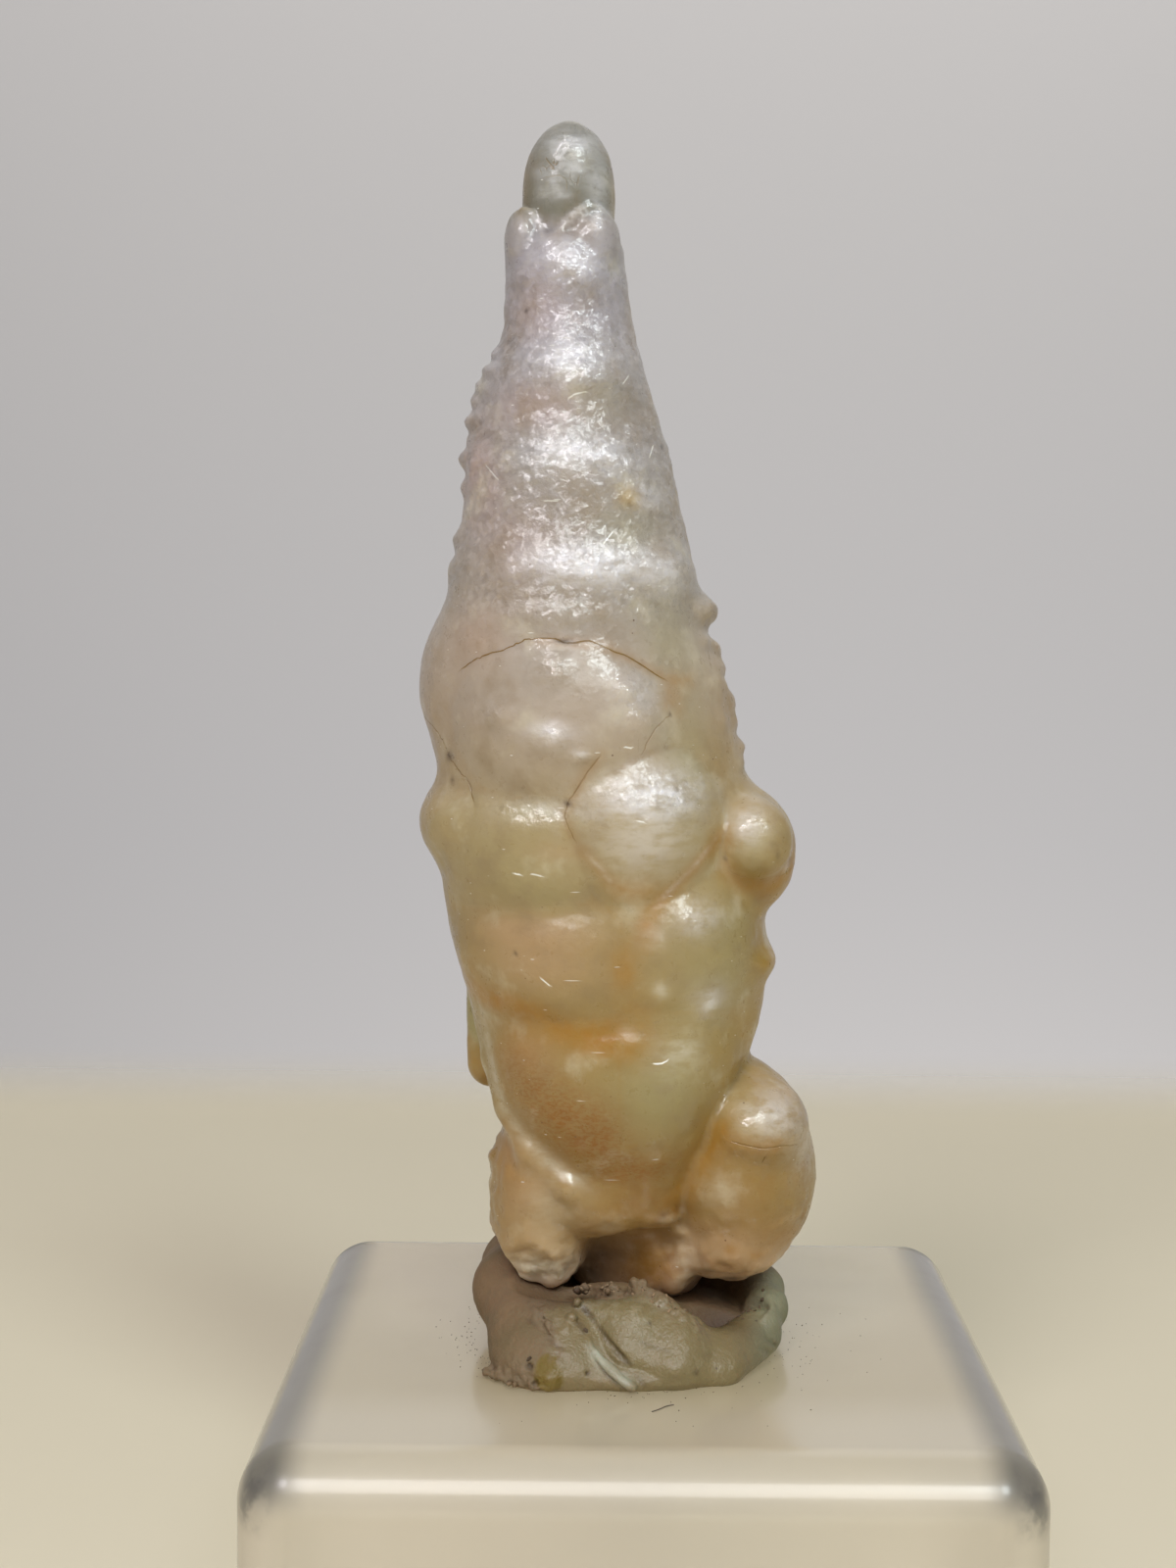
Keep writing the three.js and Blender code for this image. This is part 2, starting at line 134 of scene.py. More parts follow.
def pullOnto(field, points, rounds, least):
    for _ in range(rounds):
        g = slopeOf(field, points)
        points = points - g * (sample(field, points) / np.maximum((g * g).sum(1), least))[:, None]
    return points


def skinOf(field, low, high, cell):
    low, high = np.array(low, float), np.array(high, float)
    coarse = 4
    counts = (np.ceil((high - low) / (cell * coarse)).astype(int)) * coarse
    axes = [low[i] + cell * np.arange(counts[i]) for i in range(3)]
    lows = [a[coarse // 2::coarse] for a in axes]
    rough = sample(field, np.stack(np.meshgrid(*lows, indexing="ij"), -1).reshape(-1, 3))
    rough = rough.reshape([len(a) for a in lows])
    values = rough.repeat(coarse, 0).repeat(coarse, 1).repeat(coarse, 2)
    near = np.argwhere(np.abs(values) < cell * coarse * 1.9)
    values[tuple(near.T)] = sample(field, low + near * cell)
    grid = vdb.FloatGrid(3.0)
    grid.copyFromArray(np.clip(values / cell, -3, 3).astype(np.float32))
    meshed = grid.convertToPolygons(0.0, 0.0)
    points, faces = meshed[0] * cell + low, meshed[-1]
    return pullOnto(field, points, rounds=2, least=0.2), faces


def normalsOf(points, faces):
    a, b = points[faces[:, 2]] - points[faces[:, 0]], points[faces[:, 3]] - points[faces[:, 1]]
    faceNormal = np.cross(a, b)
    out = np.zeros_like(points)
    for k in range(4):
        np.add.at(out, faces[:, k], faceNormal)
    return out / (np.linalg.norm(out, axis=1)[:, None] + 1e-12)


def makePiece(name, points, faces):
    mesh = bpy.data.meshes.new(name)
    world = points * 0.001 + np.array([0, 0, blockTop])
    mesh.from_pydata(world.tolist(), [], faces.tolist())
    mesh.update()
    mesh.polygons.foreach_set("use_smooth", [True] * len(mesh.polygons))
    piece = bpy.data.objects.new(name, mesh)
    bpy.context.scene.collection.objects.link(piece)
    return piece


def turnOut(field, points, faces):
    n = normalsOf(points, faces)
    if (n * slopeOf(field, points)).sum() < 0:
        faces = faces[:, ::-1]
    return faces


def storeMask(piece, name, channels):
    data = np.zeros((len(piece.data.vertices), 4), np.float32)
    for k, channel in enumerate(channels):
        data[:, k] = channel
    layer = piece.data.attributes.new(name, "FLOAT_COLOR", "POINT")
    layer.data.foreach_set("color", data.ravel())


def spotMask(p, spots):
    clear = np.ones(len(p))
    for centre, radii, strength in spots:
        q = (p - np.array(centre)) / np.array(radii)
        clear *= 1 - strength * np.exp(-(q * q).sum(1))
    return 1 - clear


def pathMask(p, paths):
    clear = np.ones(len(p))
    for path, width, strength in paths:
        d, _, along = pathDistance(p, path)
        ends = smooth(along / 0.12) * smooth((1 - along) / 0.12)
        clear *= 1 - strength * (0.35 + 0.65 * ends) * np.exp(-(d / width) ** 2)
    return 1 - clear


def lineChannels(p, lines):
    signed, plain, strength = np.full(len(p), 9.0), np.full(len(p), 9.0), np.zeros(len(p))
    for path, amount in lines:
        d, side, along = pathDistance(p, path)
        closer = d < plain
        signed = np.where(closer, d * side, signed)
        fade = smooth(along / 0.06) * smooth((1 - along) / 0.06)
        strength = np.where(closer, amount * fade, strength)
        plain = np.where(closer, d, plain)
    return signed, plain, strength


# the opal
opal = {
    "cell": 0.235, "room": ((-14.6, -10.6, 0.2), (11.8, 9.8, 72.0)),
    # height, left, right, front, back
    "sections": [
        (66.5, -7.6, -2.0, -3.7, 1.6), (64.0, -8.15, -1.50, -4.1, 2.0), (61.0, -8.25, -1.10, -4.4, 2.3),
        (58.6, -8.45, -0.65, -4.8, 2.9), (55.5, -9.75, 0.25, -5.6, 3.7), (52.0, -10.30, 1.25, -6.1, 4.2),
        (48.0, -10.75, 2.25, -6.8, 4.9), (44.0, -11.60, 3.15, -7.4, 5.6), (42.0, -12.10, 3.60, -7.7, 6.0),
        (40.0, -12.50, 4.40, -7.9, 6.3), (36.0, -12.30, 5.40, -8.1, 6.9), (32.0, -12.00, 6.30, -8.1, 7.3),
        (28.0, -11.90, 6.90, -7.9, 7.5), (24.0, -11.30, 7.25, -7.9, 7.5), (20.0, -10.10, 7.10, -7.9, 7.2),
        (17.0, -9.35, 6.20, -7.8, 6.6), (14.2, -8.50, 5.10, -7.5, 5.8), (12.0, -7.00, 4.20, -7.1, 4.4),
        (10.0, -5.00, 3.50, -6.6, 2.6), (8.0, -4.20, 3.00, -6.0, 1.2),
    ],
    # x, z, half width, half height, rise, how softly it meets the ones before it
    "frontDomes": [
        (-4.65, 36.9, 6.0, 4.8, 1.05, 0.4), (-7.6, 29.3, 5.1, 3.6, 1.05, 0.5),
        (-6.2, 23.3, 5.8, 3.8, 1.0, 0.5), (2.9, 24.2, 4.3, 3.8, 0.80, 0.6),
        (-5.0, 15.8, 5.0, 4.8, 0.8, 0.3), (1.9, 15.9, 4.2, 5.2, 0.85, 0.35),
        (-0.2, 31.2, 4.7, 4.5, 1.30, 0.14),
    ],
    "backDomes": [
        (-4.6, 60.0, 4.2, 4.2, 0.6, 0.3), (-3.6, 52.2, 5.0, 4.4, 0.8, 0.3), (-6.6, 45.4, 4.6, 4.2, 0.9, 0.3),
        (-0.6, 43.4, 4.6, 5.0, 0.9, 0.3), (-7.4, 36.4, 5.0, 4.8, 1.1, 0.3), (1.2, 34.2, 5.2, 4.6, 1.2, 0.3),
        (-4.2, 28.4, 5.4, 4.6, 1.1, 0.3), (4.0, 26.0, 4.2, 4.2, 1.0, 0.3), (-6.0, 20.0, 5.0, 4.2, 1.0, 0.3),
        (1.4, 18.4, 5.2, 4.6, 1.1, 0.3), (-2.4, 11.4, 5.4, 4.6, 1.0, 0.3),
    ],
    # centre, radii, tilt, softness
    "lobes": [
        ((-9.6, 0.6, 38.9), (3.5, 4.6, 4.4), 0, 1.6),  # left shoulder
        ((-9.4, -0.4, 30.8), (3.75, 5.2, 3.2), 0, 0.9),  # left hip
        ((5.15, -0.8, 30.5), (3.55, 3.6, 2.9), 25, 1.0),  # shoulder of the knob
        ((5.3, -0.8, 28.9), (3.6, 4.2, 3.6), 0, 0.8),  # back of the knob
        ((6.2, -3.9, 30.2), (2.3, 2.5, 2.4), 0, 0.7),  # round front of the knob
        ((2.9, -0.6, 43.2), (1.25, 2.4, 0.95), 0, 0.8),
        ((6.35, -0.8, 22.8), (1.4, 3.0, 0.95), 0, 1.0),
        ((-5.75, -1.8, 9.8), (3.1, 4.7, 4.7), 0, 1.2),  # left foot
        ((-5.5, -1.6, 7.2), (2.6, 3.4, 2.3), 0, 1.0),
        ((-3.2, -3.0, 9.4), (2.6, 3.6, 2.3), 20, 1.4),
        ((5.75, -0.8, 10.3), (4.6, 5.8, 5.9), 0, 0.7),  # haunch
        ((5.2, -1.0, 6.4), (3.2, 4.6, 2.4), 0, 1.0),
        ((6.35, -2.7, 13.4), (3.35, 4.3, 3.0), 0, 0.6),  # pale ball on the haunch
        ((5.3, -0.6, 13.9), (3.3, 4.0, 3.2), 0, 0.8),
        ((-0.2, -0.4, 5.9), (2.9, 2.4, 2.8), 0, 0.9),  # mass in the recess
        ((2.55, -2.5, 5.6), (1.0, 1.35, 2.5), 18, 1.1),  # small column in the recess
        ((1.2, 3.2, 12.6), (4.6, 4.4, 5.2), 0, 0.8),
    ],
    # x, z, reach along x, reach along z, height
    "swells": [
        (-4.7, 62.3, 3.0, 1.6, 0.50), (-3.9, 59.0, 1.6, 0.7, 0.15), (-4.3, 57.0, 3.4, 1.9, 0.60),
        (-3.4, 55.9, 1.6, 0.7, 0.15), (-5.2, 52.9, 1.6, 0.8, 0.15), (-4.2, 51.3, 4.6, 1.9, 0.65),
        (-0.6, 49.2, 1.8, 1.0, 0.20), (-3.4, 45.6, 4.4, 1.4, 0.50), (1.2, 45.4, 1.8, 1.5, 0.50),
        (-5.2, 43.0, 3.2, 0.9, 0.35), (-5.3, 39.9, 0.9, 0.7, 0.26), (-0.9, 38.9, 0.9, 0.8, 0.28),
        (-0.3, 37.3, 0.9, 0.8, 0.26), (-8.2, 37.3, 0.9, 0.7, 0.26), (-5.4, 36.2, 1.1, 0.8, 0.22),
        (-3.6, 35.3, 0.8, 0.6, 0.18), (2.9, 26.2, 1.4, 1.1, 0.35), (0.6, 24.9, 1.1, 1.0, 0.18),
        (4.4, 23.6, 1.2, 1.0, 0.18), (3.4, 20.8, 1.3, 1.1, 0.35), (0.8, 21.7, 1.1, 1.0, 0.25),
        (-1.2, 18.9, 1.1, 0.9, 0.24), (1.9, 7.3, 0.6, 0.5, 0.35), (1.4, 8.4, 0.6, 0.35, 0.3),
    ],
    # left foot with broken faces: centre, radii, then a place on each face and which way it looks
    "brokenFoot": ((-5.9, -2.4, 7.4), (2.95, 3.9, 4.2)),
    "breaks": [((-8.2, 0, 5.7), (-0.86, -0.1, -0.51)), ((-6.8, 0, 4.5), (-0.40, 0.0, -0.92)),
               ((-4.6, 0, 4.5), (0.31, 0.1, -0.95)), ((-3.3, 0, 5.6), (0.95, 0.1, -0.3)),
               ((-6.6, -5.6, 6.4), (-0.2, -0.8, -0.57)), ((-4.2, -5.9, 6.6), (0.25, -0.84, -0.48))],
    # start, radius, end, radius, softness
    "stem": ((-0.6, 1.6, 16.0), 6.2, (-0.1, 1.8, 5.6), 4.7, 1.4),
    "flake": [((-9.05, 2.4, 20.8), 1.5, (-9.05, 2.2, 15.9), 1.45, 0.4),
              ((-8.6, 4.6, 20.4), 1.6, (-8.4, 4.2, 17.0), 1.3, 0.4)],
    "nub": {"stalk": ((-4.6, -1.0, 62.0), 2.7, (-4.62, -1.0, 66.5), 2.62),
            "cap": ((-4.62, -1.0, 67.2), (2.62, 2.62, 3.8))},
    # scallops of the collar round the nub: centre, radii
    "collar": [((-7.1, -1.8, 64.1), (1.15, 1.8, 1.9)), ((-3.3, -2.2, 63.9), (1.65, 1.85, 2.15)),
               ((-5.9, -2.2, 62.4), (1.9, 1.8, 1.7)), ((-5.0, 0.9, 64.3), (2.3, 1.6, 1.6))],
    # raised edge of the collar, down into its notch and up again
    "lip": [(-7.2, -2.7, 65.8), (-6.65, -2.9, 65.6), (-6.3, -3.1, 65.0), (-6.05, -3.4, 64.3),
            (-5.8, -3.75, 63.75), (-5.4, -3.75, 64.0), (-4.85, -3.65, 64.65), (-4.0, -3.6, 65.4),
            (-3.3, -3.4, 65.9), (-2.8, -3.15, 65.85), (-2.3, -2.9, 65.2)],
    "lipRadius": 0.15,
    "collarTop": 64.4, "foot": 7.7, "rimRadius": 0.62,
    "rim": [(-9.0, -0.6, 19.6), (-8.55, -2.0, 17.0), (-7.75, -3.9, 14.6), (-6.4, -5.6, 12.3),
            (-4.2, -6.2, 10.4), (-2.4, -5.8, 9.2)],
}


def heightCurve(z, column):
    table = np.array(opal["sections"])[::-1]
    zs, v = table[:, 0], table[:, column]
    m = np.gradient(v, zs)
    i = np.clip(np.searchsorted(zs, z) - 1, 0, len(zs) - 2)
    h = zs[i + 1] - zs[i]
    t = np.clip((z - zs[i]) / h, 0, 1)
    return ((2 * t**3 - 3 * t**2 + 1) * v[i] + (t**3 - 2 * t**2 + t) * h * m[i]
            + (3 * t**2 - 2 * t**3) * v[i + 1] + (t**3 - t**2) * h * m[i + 1])


def domeRise(p, domes):
    best = np.full(len(p), -0.15)
    second = np.full(len(p), -0.15)
    hard = np.full(len(p), -0.15)
    for x, z, wide, tall, rise, softness in domes:
        dome = rise * (1 - ((p[:, 0] - x) / wide) ** 2 - ((p[:, 2] - z) / tall) ** 2)
        best = carve(best, dome, softness)
        second = np.where(dome > hard, hard, np.maximum(second, dome))
        hard = np.maximum(hard, dome)
    return best, hard - second  # the gap is nought along a crease


def bodyDepth(p):
    l, r, f, b = (heightCurve(p[:, 2], c) for c in (1, 2, 3, 4))
    qx, qy = p[:, 0] - (l + r) / 2, p[:, 1] - (f + b) / 2
    wide, deep = (r - l) / 2, (b - f) / 2
    near = np.hypot(qx / wide, qy / deep)
    return near * (near - 1) / (np.hypot(qx / wide**2, qy / deep**2) + 1e-9), qy / deep, (f + b) / 2


def opalField(p):
    z = p[:, 2]
    d, turn, middle = bodyDepth(p)
    d = d - domeRise(p, opal["frontDomes"])[0] * smooth((-turn - 0.12) / 0.5)
    d = d - domeRise(p, opal["backDomes"])[0] * smooth((turn - 0.12) / 0.5)
    d = carve(d, z - opal["collarTop"], 0.8)
    d = carve(d, opal["foot"] - z, 1.2)
    for centre, radii, tilt, softness in opal["lobes"]:
        d = join(d, ellipsoid(p, centre, radii, tilt), softness)
    foot = ellipsoid(p, *opal["brokenFoot"])
    for place, facing in opal["breaks"]:
        foot = carve(foot, (p - np.array(place)) @ np.array(facing), 0.12)
    d = join(d, foot, 0.45)
    for start, startRadius, end, endRadius, softness in [opal["stem"]] + opal["flake"]:
        d = join(d, roll(p, start, startRadius, end, endRadius), softness)
    for a, b in zip(opal["rim"], opal["rim"][1:]):
        d = join(d, roll(p, a, opal["rimRadius"], b, opal["rimRadius"]), 0.7)
    front = smooth((middle - p[:, 1]) / 3.0)
    for x, zc, wide, tall, rise in opal["swells"]:
        d = d - rise * front * np.exp(-((p[:, 0] - x) / wide) ** 2 - ((z - zc) / tall) ** 2)
    nub = join(roll(p, *opal["nub"]["stalk"]), ellipsoid(p, *opal["nub"]["cap"]), 0.3)
    d = join(d, nub, 0.25)
    for centre, radii in opal["collar"]:
        d = join(d, ellipsoid(p, centre, radii), 0.25)
    return join(d, pathDistance(p, opal["lip"])[0] - opal["lipRadius"], 0.25)


marks = {
    "cracks": [  # fine brown cracks: points on the surface, strength
        ([(-10.7, -5.0, 39.6), (-10.2, -5.5, 40.0), (-9.5, -6.0, 40.4), (-8.8, -6.5, 40.7),
          (-8.0, -7.0, 40.9), (-7.4, -7.2, 41.2), (-6.8, -7.3, 41.5), (-6.0, -7.6, 41.6),
          (-5.1, -7.8, 41.6), (-4.6, -7.9, 41.4), (-4.0, -7.9, 41.4), (-3.2, -7.7, 41.5),
          (-2.5, -7.7, 41.2), (-1.9, -7.6, 40.9), (-1.2, -7.4, 40.7), (-0.5, -7.2, 40.3), (0.1, -7.0, 39.9),
          (0.7, -6.7, 39.5), (1.3, -6.3, 39.2)], 1.0),
        ([(-12.9, -0.8, 37.0), (-12.3, -2.4, 36.5), (-11.7, -3.3, 35.8), (-11.3, -3.8, 35.0),
          (-11.0, -4.1, 34.5), (-10.4, -4.7, 33.9), (-9.9, -5.2, 33.4), (-9.8, -5.4, 32.8),
          (-9.6, -5.9, 32.2)], 0.9),
        ([(-2.5, -8.9, 35.3), (-3.3, -8.8, 34.2), (-3.9, -8.5, 33.2), (-4.3, -8.2, 32.6),
          (-4.5, -8.2, 31.8), (-4.2, -8.3, 31.1), (-3.8, -8.4, 30.3)], 0.5),
        ([(1.3, -6.7, 37.4), (0.5, -7.6, 36.7), (0.0, -8.0, 35.8), (-0.3, -8.1, 35.2)], 0.45),
        ([(4.7, -5.2, 28.7), (5.3, -5.1, 28.3), (6.0, -4.9, 28.1), (6.9, -4.4, 28.0), (7.9, -3.6, 28.1),
          (8.6, -2.4, 28.4)], 0.35),
        ([(-5.9, -3.1, 68.6), (-5.5, -3.4, 68.0), (-5.3, -3.5, 67.6)], 0.5),
        ([(-5.2, -3.4, 68.2), (-5.5, -3.4, 67.9), (-5.8, -3.3, 67.8)], 0.5),
        ([(-5.7, -3.2, 68.3), (-5.8, -3.3, 67.7)], 0.4), ([(-6.2, -3.0, 68.0), (-6.1, -3.1, 67.6)], 0.3),
        ([(-4.0, -3.6, 67.5), (-4.1, -3.6, 66.9)], 0.3),
        ([(-6.2, -3.1, 67.3), (-5.7, -3.4, 67.45), (-5.1, -3.6, 67.5), (-4.75, -3.65, 67.3),
          (-4.6, -3.6, 66.9), (-4.7, -3.6, 66.5)], 0.22),
        ([(4.9, -6.6, 13.3), (5.9, -6.9, 13.1), (6.9, -6.9, 12.9), (8.0, -6.4, 13.0), (8.9, -5.3, 12.8)],
         0.5),
        ([(6.95, -6.6, 12.35), (6.8, -6.5, 12.0)], 1.0),
        ([(-7.4, 6.4, 44.0), (-6.0, 6.9, 41.5), (-4.2, 7.3, 40.2), (-2.4, 7.4, 39.4), (-0.6, 7.2, 39.2)],
         0.9),
        ([(1.0, 7.7, 31.0), (2.2, 7.7, 29.4), (3.0, 7.4, 27.4), (2.6, 7.8, 25.0)], 0.8),
        ([(9.0, 1.0, 30.0), (8.6, 0.6, 27.6), (7.9, 0.9, 25.4)], 0.7),
    ],
    "stainPaths": [  # orange stain along creases: points, width, strength
        ([(-10.7, -1.2, 21.6), (-10.0, -3.4, 21.5), (-8.8, -5.4, 21.1), (-7.6, -6.6, 20.9),
          (-6.2, -7.3, 20.6), (-4.8, -7.5, 19.9), (-3.5, -7.9, 19.5), (-2.2, -8.1, 19.3),
          (-0.9, -8.2, 18.9)], 0.95, 0.75),
        ([(4.6, -5.7, 30.8), (3.9, -6.1, 30.1), (2.8, -7.0, 29.0), (1.6, -7.5, 27.8), (1.1, -7.6, 27.3),
          (0.5, -7.8, 26.6), (0.1, -8.0, 25.9), (-0.2, -8.2, 25.0)], 0.55, 0.5),
        ([(-3.8, -8.4, 30.3), (-3.3, -8.5, 29.6), (-2.7, -8.6, 29.0), (-2.1, -8.4, 28.3),
          (-1.0, -8.2, 27.5)], 0.5, 0.35),
        ([(-2.5, -8.9, 35.3), (-3.3, -8.8, 34.2), (-3.9, -8.5, 33.2), (-4.5, -8.2, 31.8),
          (-3.8, -8.4, 30.3)], 0.4, 0.3),
        ([(4.9, -6.3, 14.5), (4.0, -5.8, 12.6), (3.0, -5.4, 11.1), (2.0, -5.2, 9.7), (1.3, -5.5, 8.7)],
         0.9, 0.55),
        ([(4.9, -6.6, 13.3), (5.9, -6.9, 13.1), (6.9, -6.9, 12.9), (8.0, -6.4, 13.0)], 0.5, 0.4),
        ([(4.6, -5.3, 29.6), (4.9, -5.2, 28.4), (5.6, -4.9, 27.8), (6.9, -4.4, 27.6), (8.2, -3.2, 27.9)],
         0.7, 0.5),
        ([(-6.8, -7.3, 41.5), (-4.6, -7.9, 41.4), (-2.5, -7.7, 41.2), (-0.5, -7.2, 40.3),
          (1.3, -6.3, 39.2)], 0.35, 0.35),
        ([(1.3, -6.3, 39.2), (2.2, -5.6, 39.3), (2.8, -5.0, 39.3)], 0.4, 0.3),
    ],
    "stainSpots": [  # centre, reach, strength
        # the first spot browns the recess, partly its own colour and partly painted shade
        ((0.2, -2.8, 5.2), (2.6, 2.6, 2.2), 0.9), ((-0.6, -7.9, 20.6), (1.6, 3, 1.4), 0.3),
        ((-0.4, -8.3, 27.6), (1.3, 3, 0.8), 0.5), ((0.1, -8.0, 25.2), (0.7, 3, 1.0), 0.35),
        ((-1.1, -8.1, 23.3), (0.8, 3, 1.3), 0.62), ((1.4, -6.4, 38.4), (0.7, 3, 1.2), 0.4),
        ((-2.2, -8.1, 19.2), (1.6, 3, 0.8), 0.6), ((-8.2, -6.2, 21.1), (1.3, 3, 0.6), 0.4),
        ((-9.8, -3.4, 22.6), (1.2, 3, 1.2), 0.3), ((-7.0, -6.4, 19.0), (1.6, 3, 1.4), 0.3),
        ((8.4, -1.6, 28.4), (1.6, 4, 2.0), 0.45), ((4.2, -5.9, 30.2), (0.8, 2.5, 1.0), 0.35),
        ((5.1, -5.7, 6.7), (0.35, 2, 0.3), 0.7), ((6.6, -5.3, 6.3), (0.4, 2, 0.25), 0.5),
        ((-7.6, -4.6, 10.6), (1.0, 2, 1.6), 0.25), ((-7.9, -4.6, 13.0), (0.7, 2, 1.2), 0.3),
        ((4.4, -6.2, 13.2), (0.9, 2, 1.2), 0.35), ((-1.0, -6.0, 9.4), (1.4, 3, 1.2), 0.2),
        ((-1.0, -8.2, 19.0), (2.2, 3, 1.3), 0.3), ((-6.0, 7.4, 31.4), (2.2, 2, 1.0), 0.45),
        ((2.4, 7.6, 30.0), (1.4, 2, 1.6), 0.4), ((-1.6, 7.4, 23.0), (2.6, 2, 0.9), 0.5),
        ((4.6, 7.0, 21.6), (1.2, 2, 1.6), 0.35), ((-1.0, 6.4, 14.6), (3.0, 2, 1.0), 0.4),
    ],
    "brownSpots": [
        ((-6.4, -7.2, 16.4), (1.9, 3, 1.5), 0.6), ((-4.6, -7.7, 14.9), (2.2, 3, 1.6), 0.85),
        ((-3.0, -7.5, 13.2), (2.0, 3, 1.2), 0.85), ((-1.1, -6.8, 11.7), (2.2, 3, 1.0), 0.8),
        ((0.8, -6.8, 11.5), (1.4, 3, 0.8), 0.45), ((-7.6, -5.8, 17.6), (1.2, 2.5, 1.4), 0.4),
        ((-2.5, -8.0, 14.5), (1.1, 3, 1.2), 0.5), ((0.0, -6.4, 9.8), (2.0, 3, 0.9), 0.35),
        ((2.0, -6.4, 12.4), (1.0, 3, 0.8), 0.3), ((8.3, -4.6, 7.4), (1.6, 3, 1.2), 0.35),
        ((-2.0, 6.0, 12.4), (3.0, 2, 1.4), 0.55), ((-7.4, 4.6, 24.0), (1.4, 2, 2.2), 0.4),
        ((-2.9, -5.6, 6.4), (0.5, 2, 1.2), 0.6), ((-3.6, -6.0, 7.6), (1.2, 2, 0.5), 0.3),
        ((1.4, -5.4, 8.8), (1.6, 2, 0.8), 0.4), ((9.4, -3.4, 9.6), (0.8, 3, 3.0), 0.35),
        ((5.4, -5.6, 5.6), (1.4, 2, 0.5), 0.35), ((7.4, -6.0, 10.6), (3.0, 3, 2.4), 0.25),
    ],
    # whitish pearly patches, with painted highlights on the ring crests, the heart, the knob and the ball,
    # and painted light under the left foot
    "pearlAndHighlightSpots": [
        ((0.5, -8.6, 33.0), (2.8, 3, 1.3), 0.9), ((0.4, -8.6, 33.2), (2.2, 3, 0.9), 0.5),
        ((-5.6, -7.9, 32.0), (2.2, 3, 0.6), 0.7), ((-4.3, -5.2, 57.4), (2.2, 3, 1.2), 0.75),
        ((-3.8, -6.3, 51.8), (3.0, 3, 1.1), 0.75), ((-4.3, -4.3, 62.6), (1.5, 3, 0.9), 0.6),
        ((-3.2, -7.2, 45.6), (3.4, 3, 1.0), 0.95), ((-3.4, -7.2, 46.0), (2.8, 3, 0.9), 0.7),
        ((1.4, -6.6, 45.2), (1.2, 3, 1.2), 0.6), ((0.4, -6.2, 49.6), (1.4, 3, 0.9), 0.4),
        ((-0.6, -7.8, 38.6), (1.5, 3, 1.3), 0.35), ((-5.2, -9.0, 36.4), (1.6, 3, 0.7), 0.35),
        ((5.8, -6.2, 31.2), (1.1, 2, 1.2), 0.6), ((3.0, -7.6, 26.0), (1.2, 3, 0.9), 0.5),
        ((0.3, -8.2, 25.1), (0.9, 3, 0.8), 0.3), ((3.8, -7.0, 21.3), (1.3, 3, 1.2), 0.3),
        ((1.6, -8.0, 18.4), (1.6, 3, 1.4), 0.35), ((-1.0, -8.2, 19.6), (0.45, 2, 0.45), 0.5),
        ((7.3, -6.4, 14.6), (2.0, 3, 1.4), 0.75), ((9.4, -4.0, 12.2), (1.2, 3, 1.8), 0.4),
        ((4.1, -6.2, 10.2), (1.4, 2.5, 1.4), 0.22), ((-5.7, -5.0, 5.2), (2.6, 3, 1.1), 0.8),
        ((-5.4, -6.8, 9.4), (1.6, 3, 1.8), 0.25), ((1.4, -5.2, 8.4), (0.6, 2, 0.3), 0.6),
        ((-5.4, -6.4, 5.3), (3.0, 3, 0.8), 0.35), ((-0.2, -8.7, 30.4), (2.8, 3, 1.8), 0.42),
        ((-5.3, -9.1, 36.5), (0.9, 2, 0.45), 0.5), ((-3.6, -9.0, 35.3), (0.5, 2, 0.25), 0.5),
        ((0.9, -8.2, 22.1), (0.45, 2, 0.45), 0.45), ((3.7, -7.0, 21.3), (0.4, 2, 0.6), 0.5),
        ((2.2, -7.8, 18.7), (0.9, 2, 0.5), 0.5), ((-4.4, -3.4, 69.4), (1.6, 2, 0.8), 0.6),
        ((-2.9, -3.0, 67.2), (0.7, 2, 1.6), 0.5), ((-2.9, -4.0, 65.2), (0.3, 2, 0.8), 0.6),
        ((-5.9, -3.4, 67.8), (0.7, 2, 0.5), 0.4), ((-5.6, -3.6, 66.6), (0.8, 2, 0.5), 0.45),
        ((-4.2, -3.6, 67.9), (0.7, 2, 0.5), 0.35), ((2.5, -3.9, 5.3), (0.8, 1.5, 1.8), 0.75),
        ((-4.0, 5.6, 52.0), (2.4, 2, 1.6), 0.4), ((0.8, 7.6, 34.0), (2.6, 2, 1.8), 0.5),
        ((-6.6, 7.4, 36.0), (2.4, 2, 1.6), 0.4), ((-4.0, 7.8, 27.6), (2.6, 2, 1.6), 0.4),
    ],
    "rimPaths": [  # pale edge of the hanging sac and of the heart shaped lobe
        ([(-9.3, -4.5, 21.0), (-9.1, -3.5, 19.6), (-8.9, -3.7, 18.2), (-8.5, -4.4, 16.6), (-8.0, -4.9, 14.7),
          (-6.9, -5.8, 13.4), (-5.5, -6.5, 12.1), (-4.1, -6.8, 11.1), (-2.8, -6.6, 10.2)], 0.5, 0.38),
        ([(4.6, -5.7, 30.9), (2.9, -7.0, 29.2), (1.7, -7.5, 28.0), (0.6, -7.8, 26.8)], 0.16, 0.45),
        ([(-3.2, -8.5, 29.7), (-2.6, -8.6, 29.1), (-1.9, -8.4, 28.2)], 0.14, 0.5),
        ([(4.7, -5.3, 29.0), (5.3, -5.1, 28.5), (6.9, -4.5, 28.2), (8.4, -2.9, 28.5)], 0.16, 0.5),
        ([(-5.5, -3.5, 67.3), (-5.4, -3.5, 66.9), (-5.0, -3.6, 66.4), (-4.3, -3.6, 66.3)], 0.16, 0.4),
        (opal["lip"], 0.16, 0.45),
    ],
    "pinkSpots": [
        ((-6.0, -8.0, 23.6), (4.0, 3, 1.8), 0.5), ((-6.8, -7.4, 25.4), (4.0, 3, 1.0), 0.5),
        ((-9.6, -4.0, 50.6), (1.6, 4, 3.0), 0.6), ((-6.0, -5.4, 54.6), (3.0, 3, 1.4), 0.45),
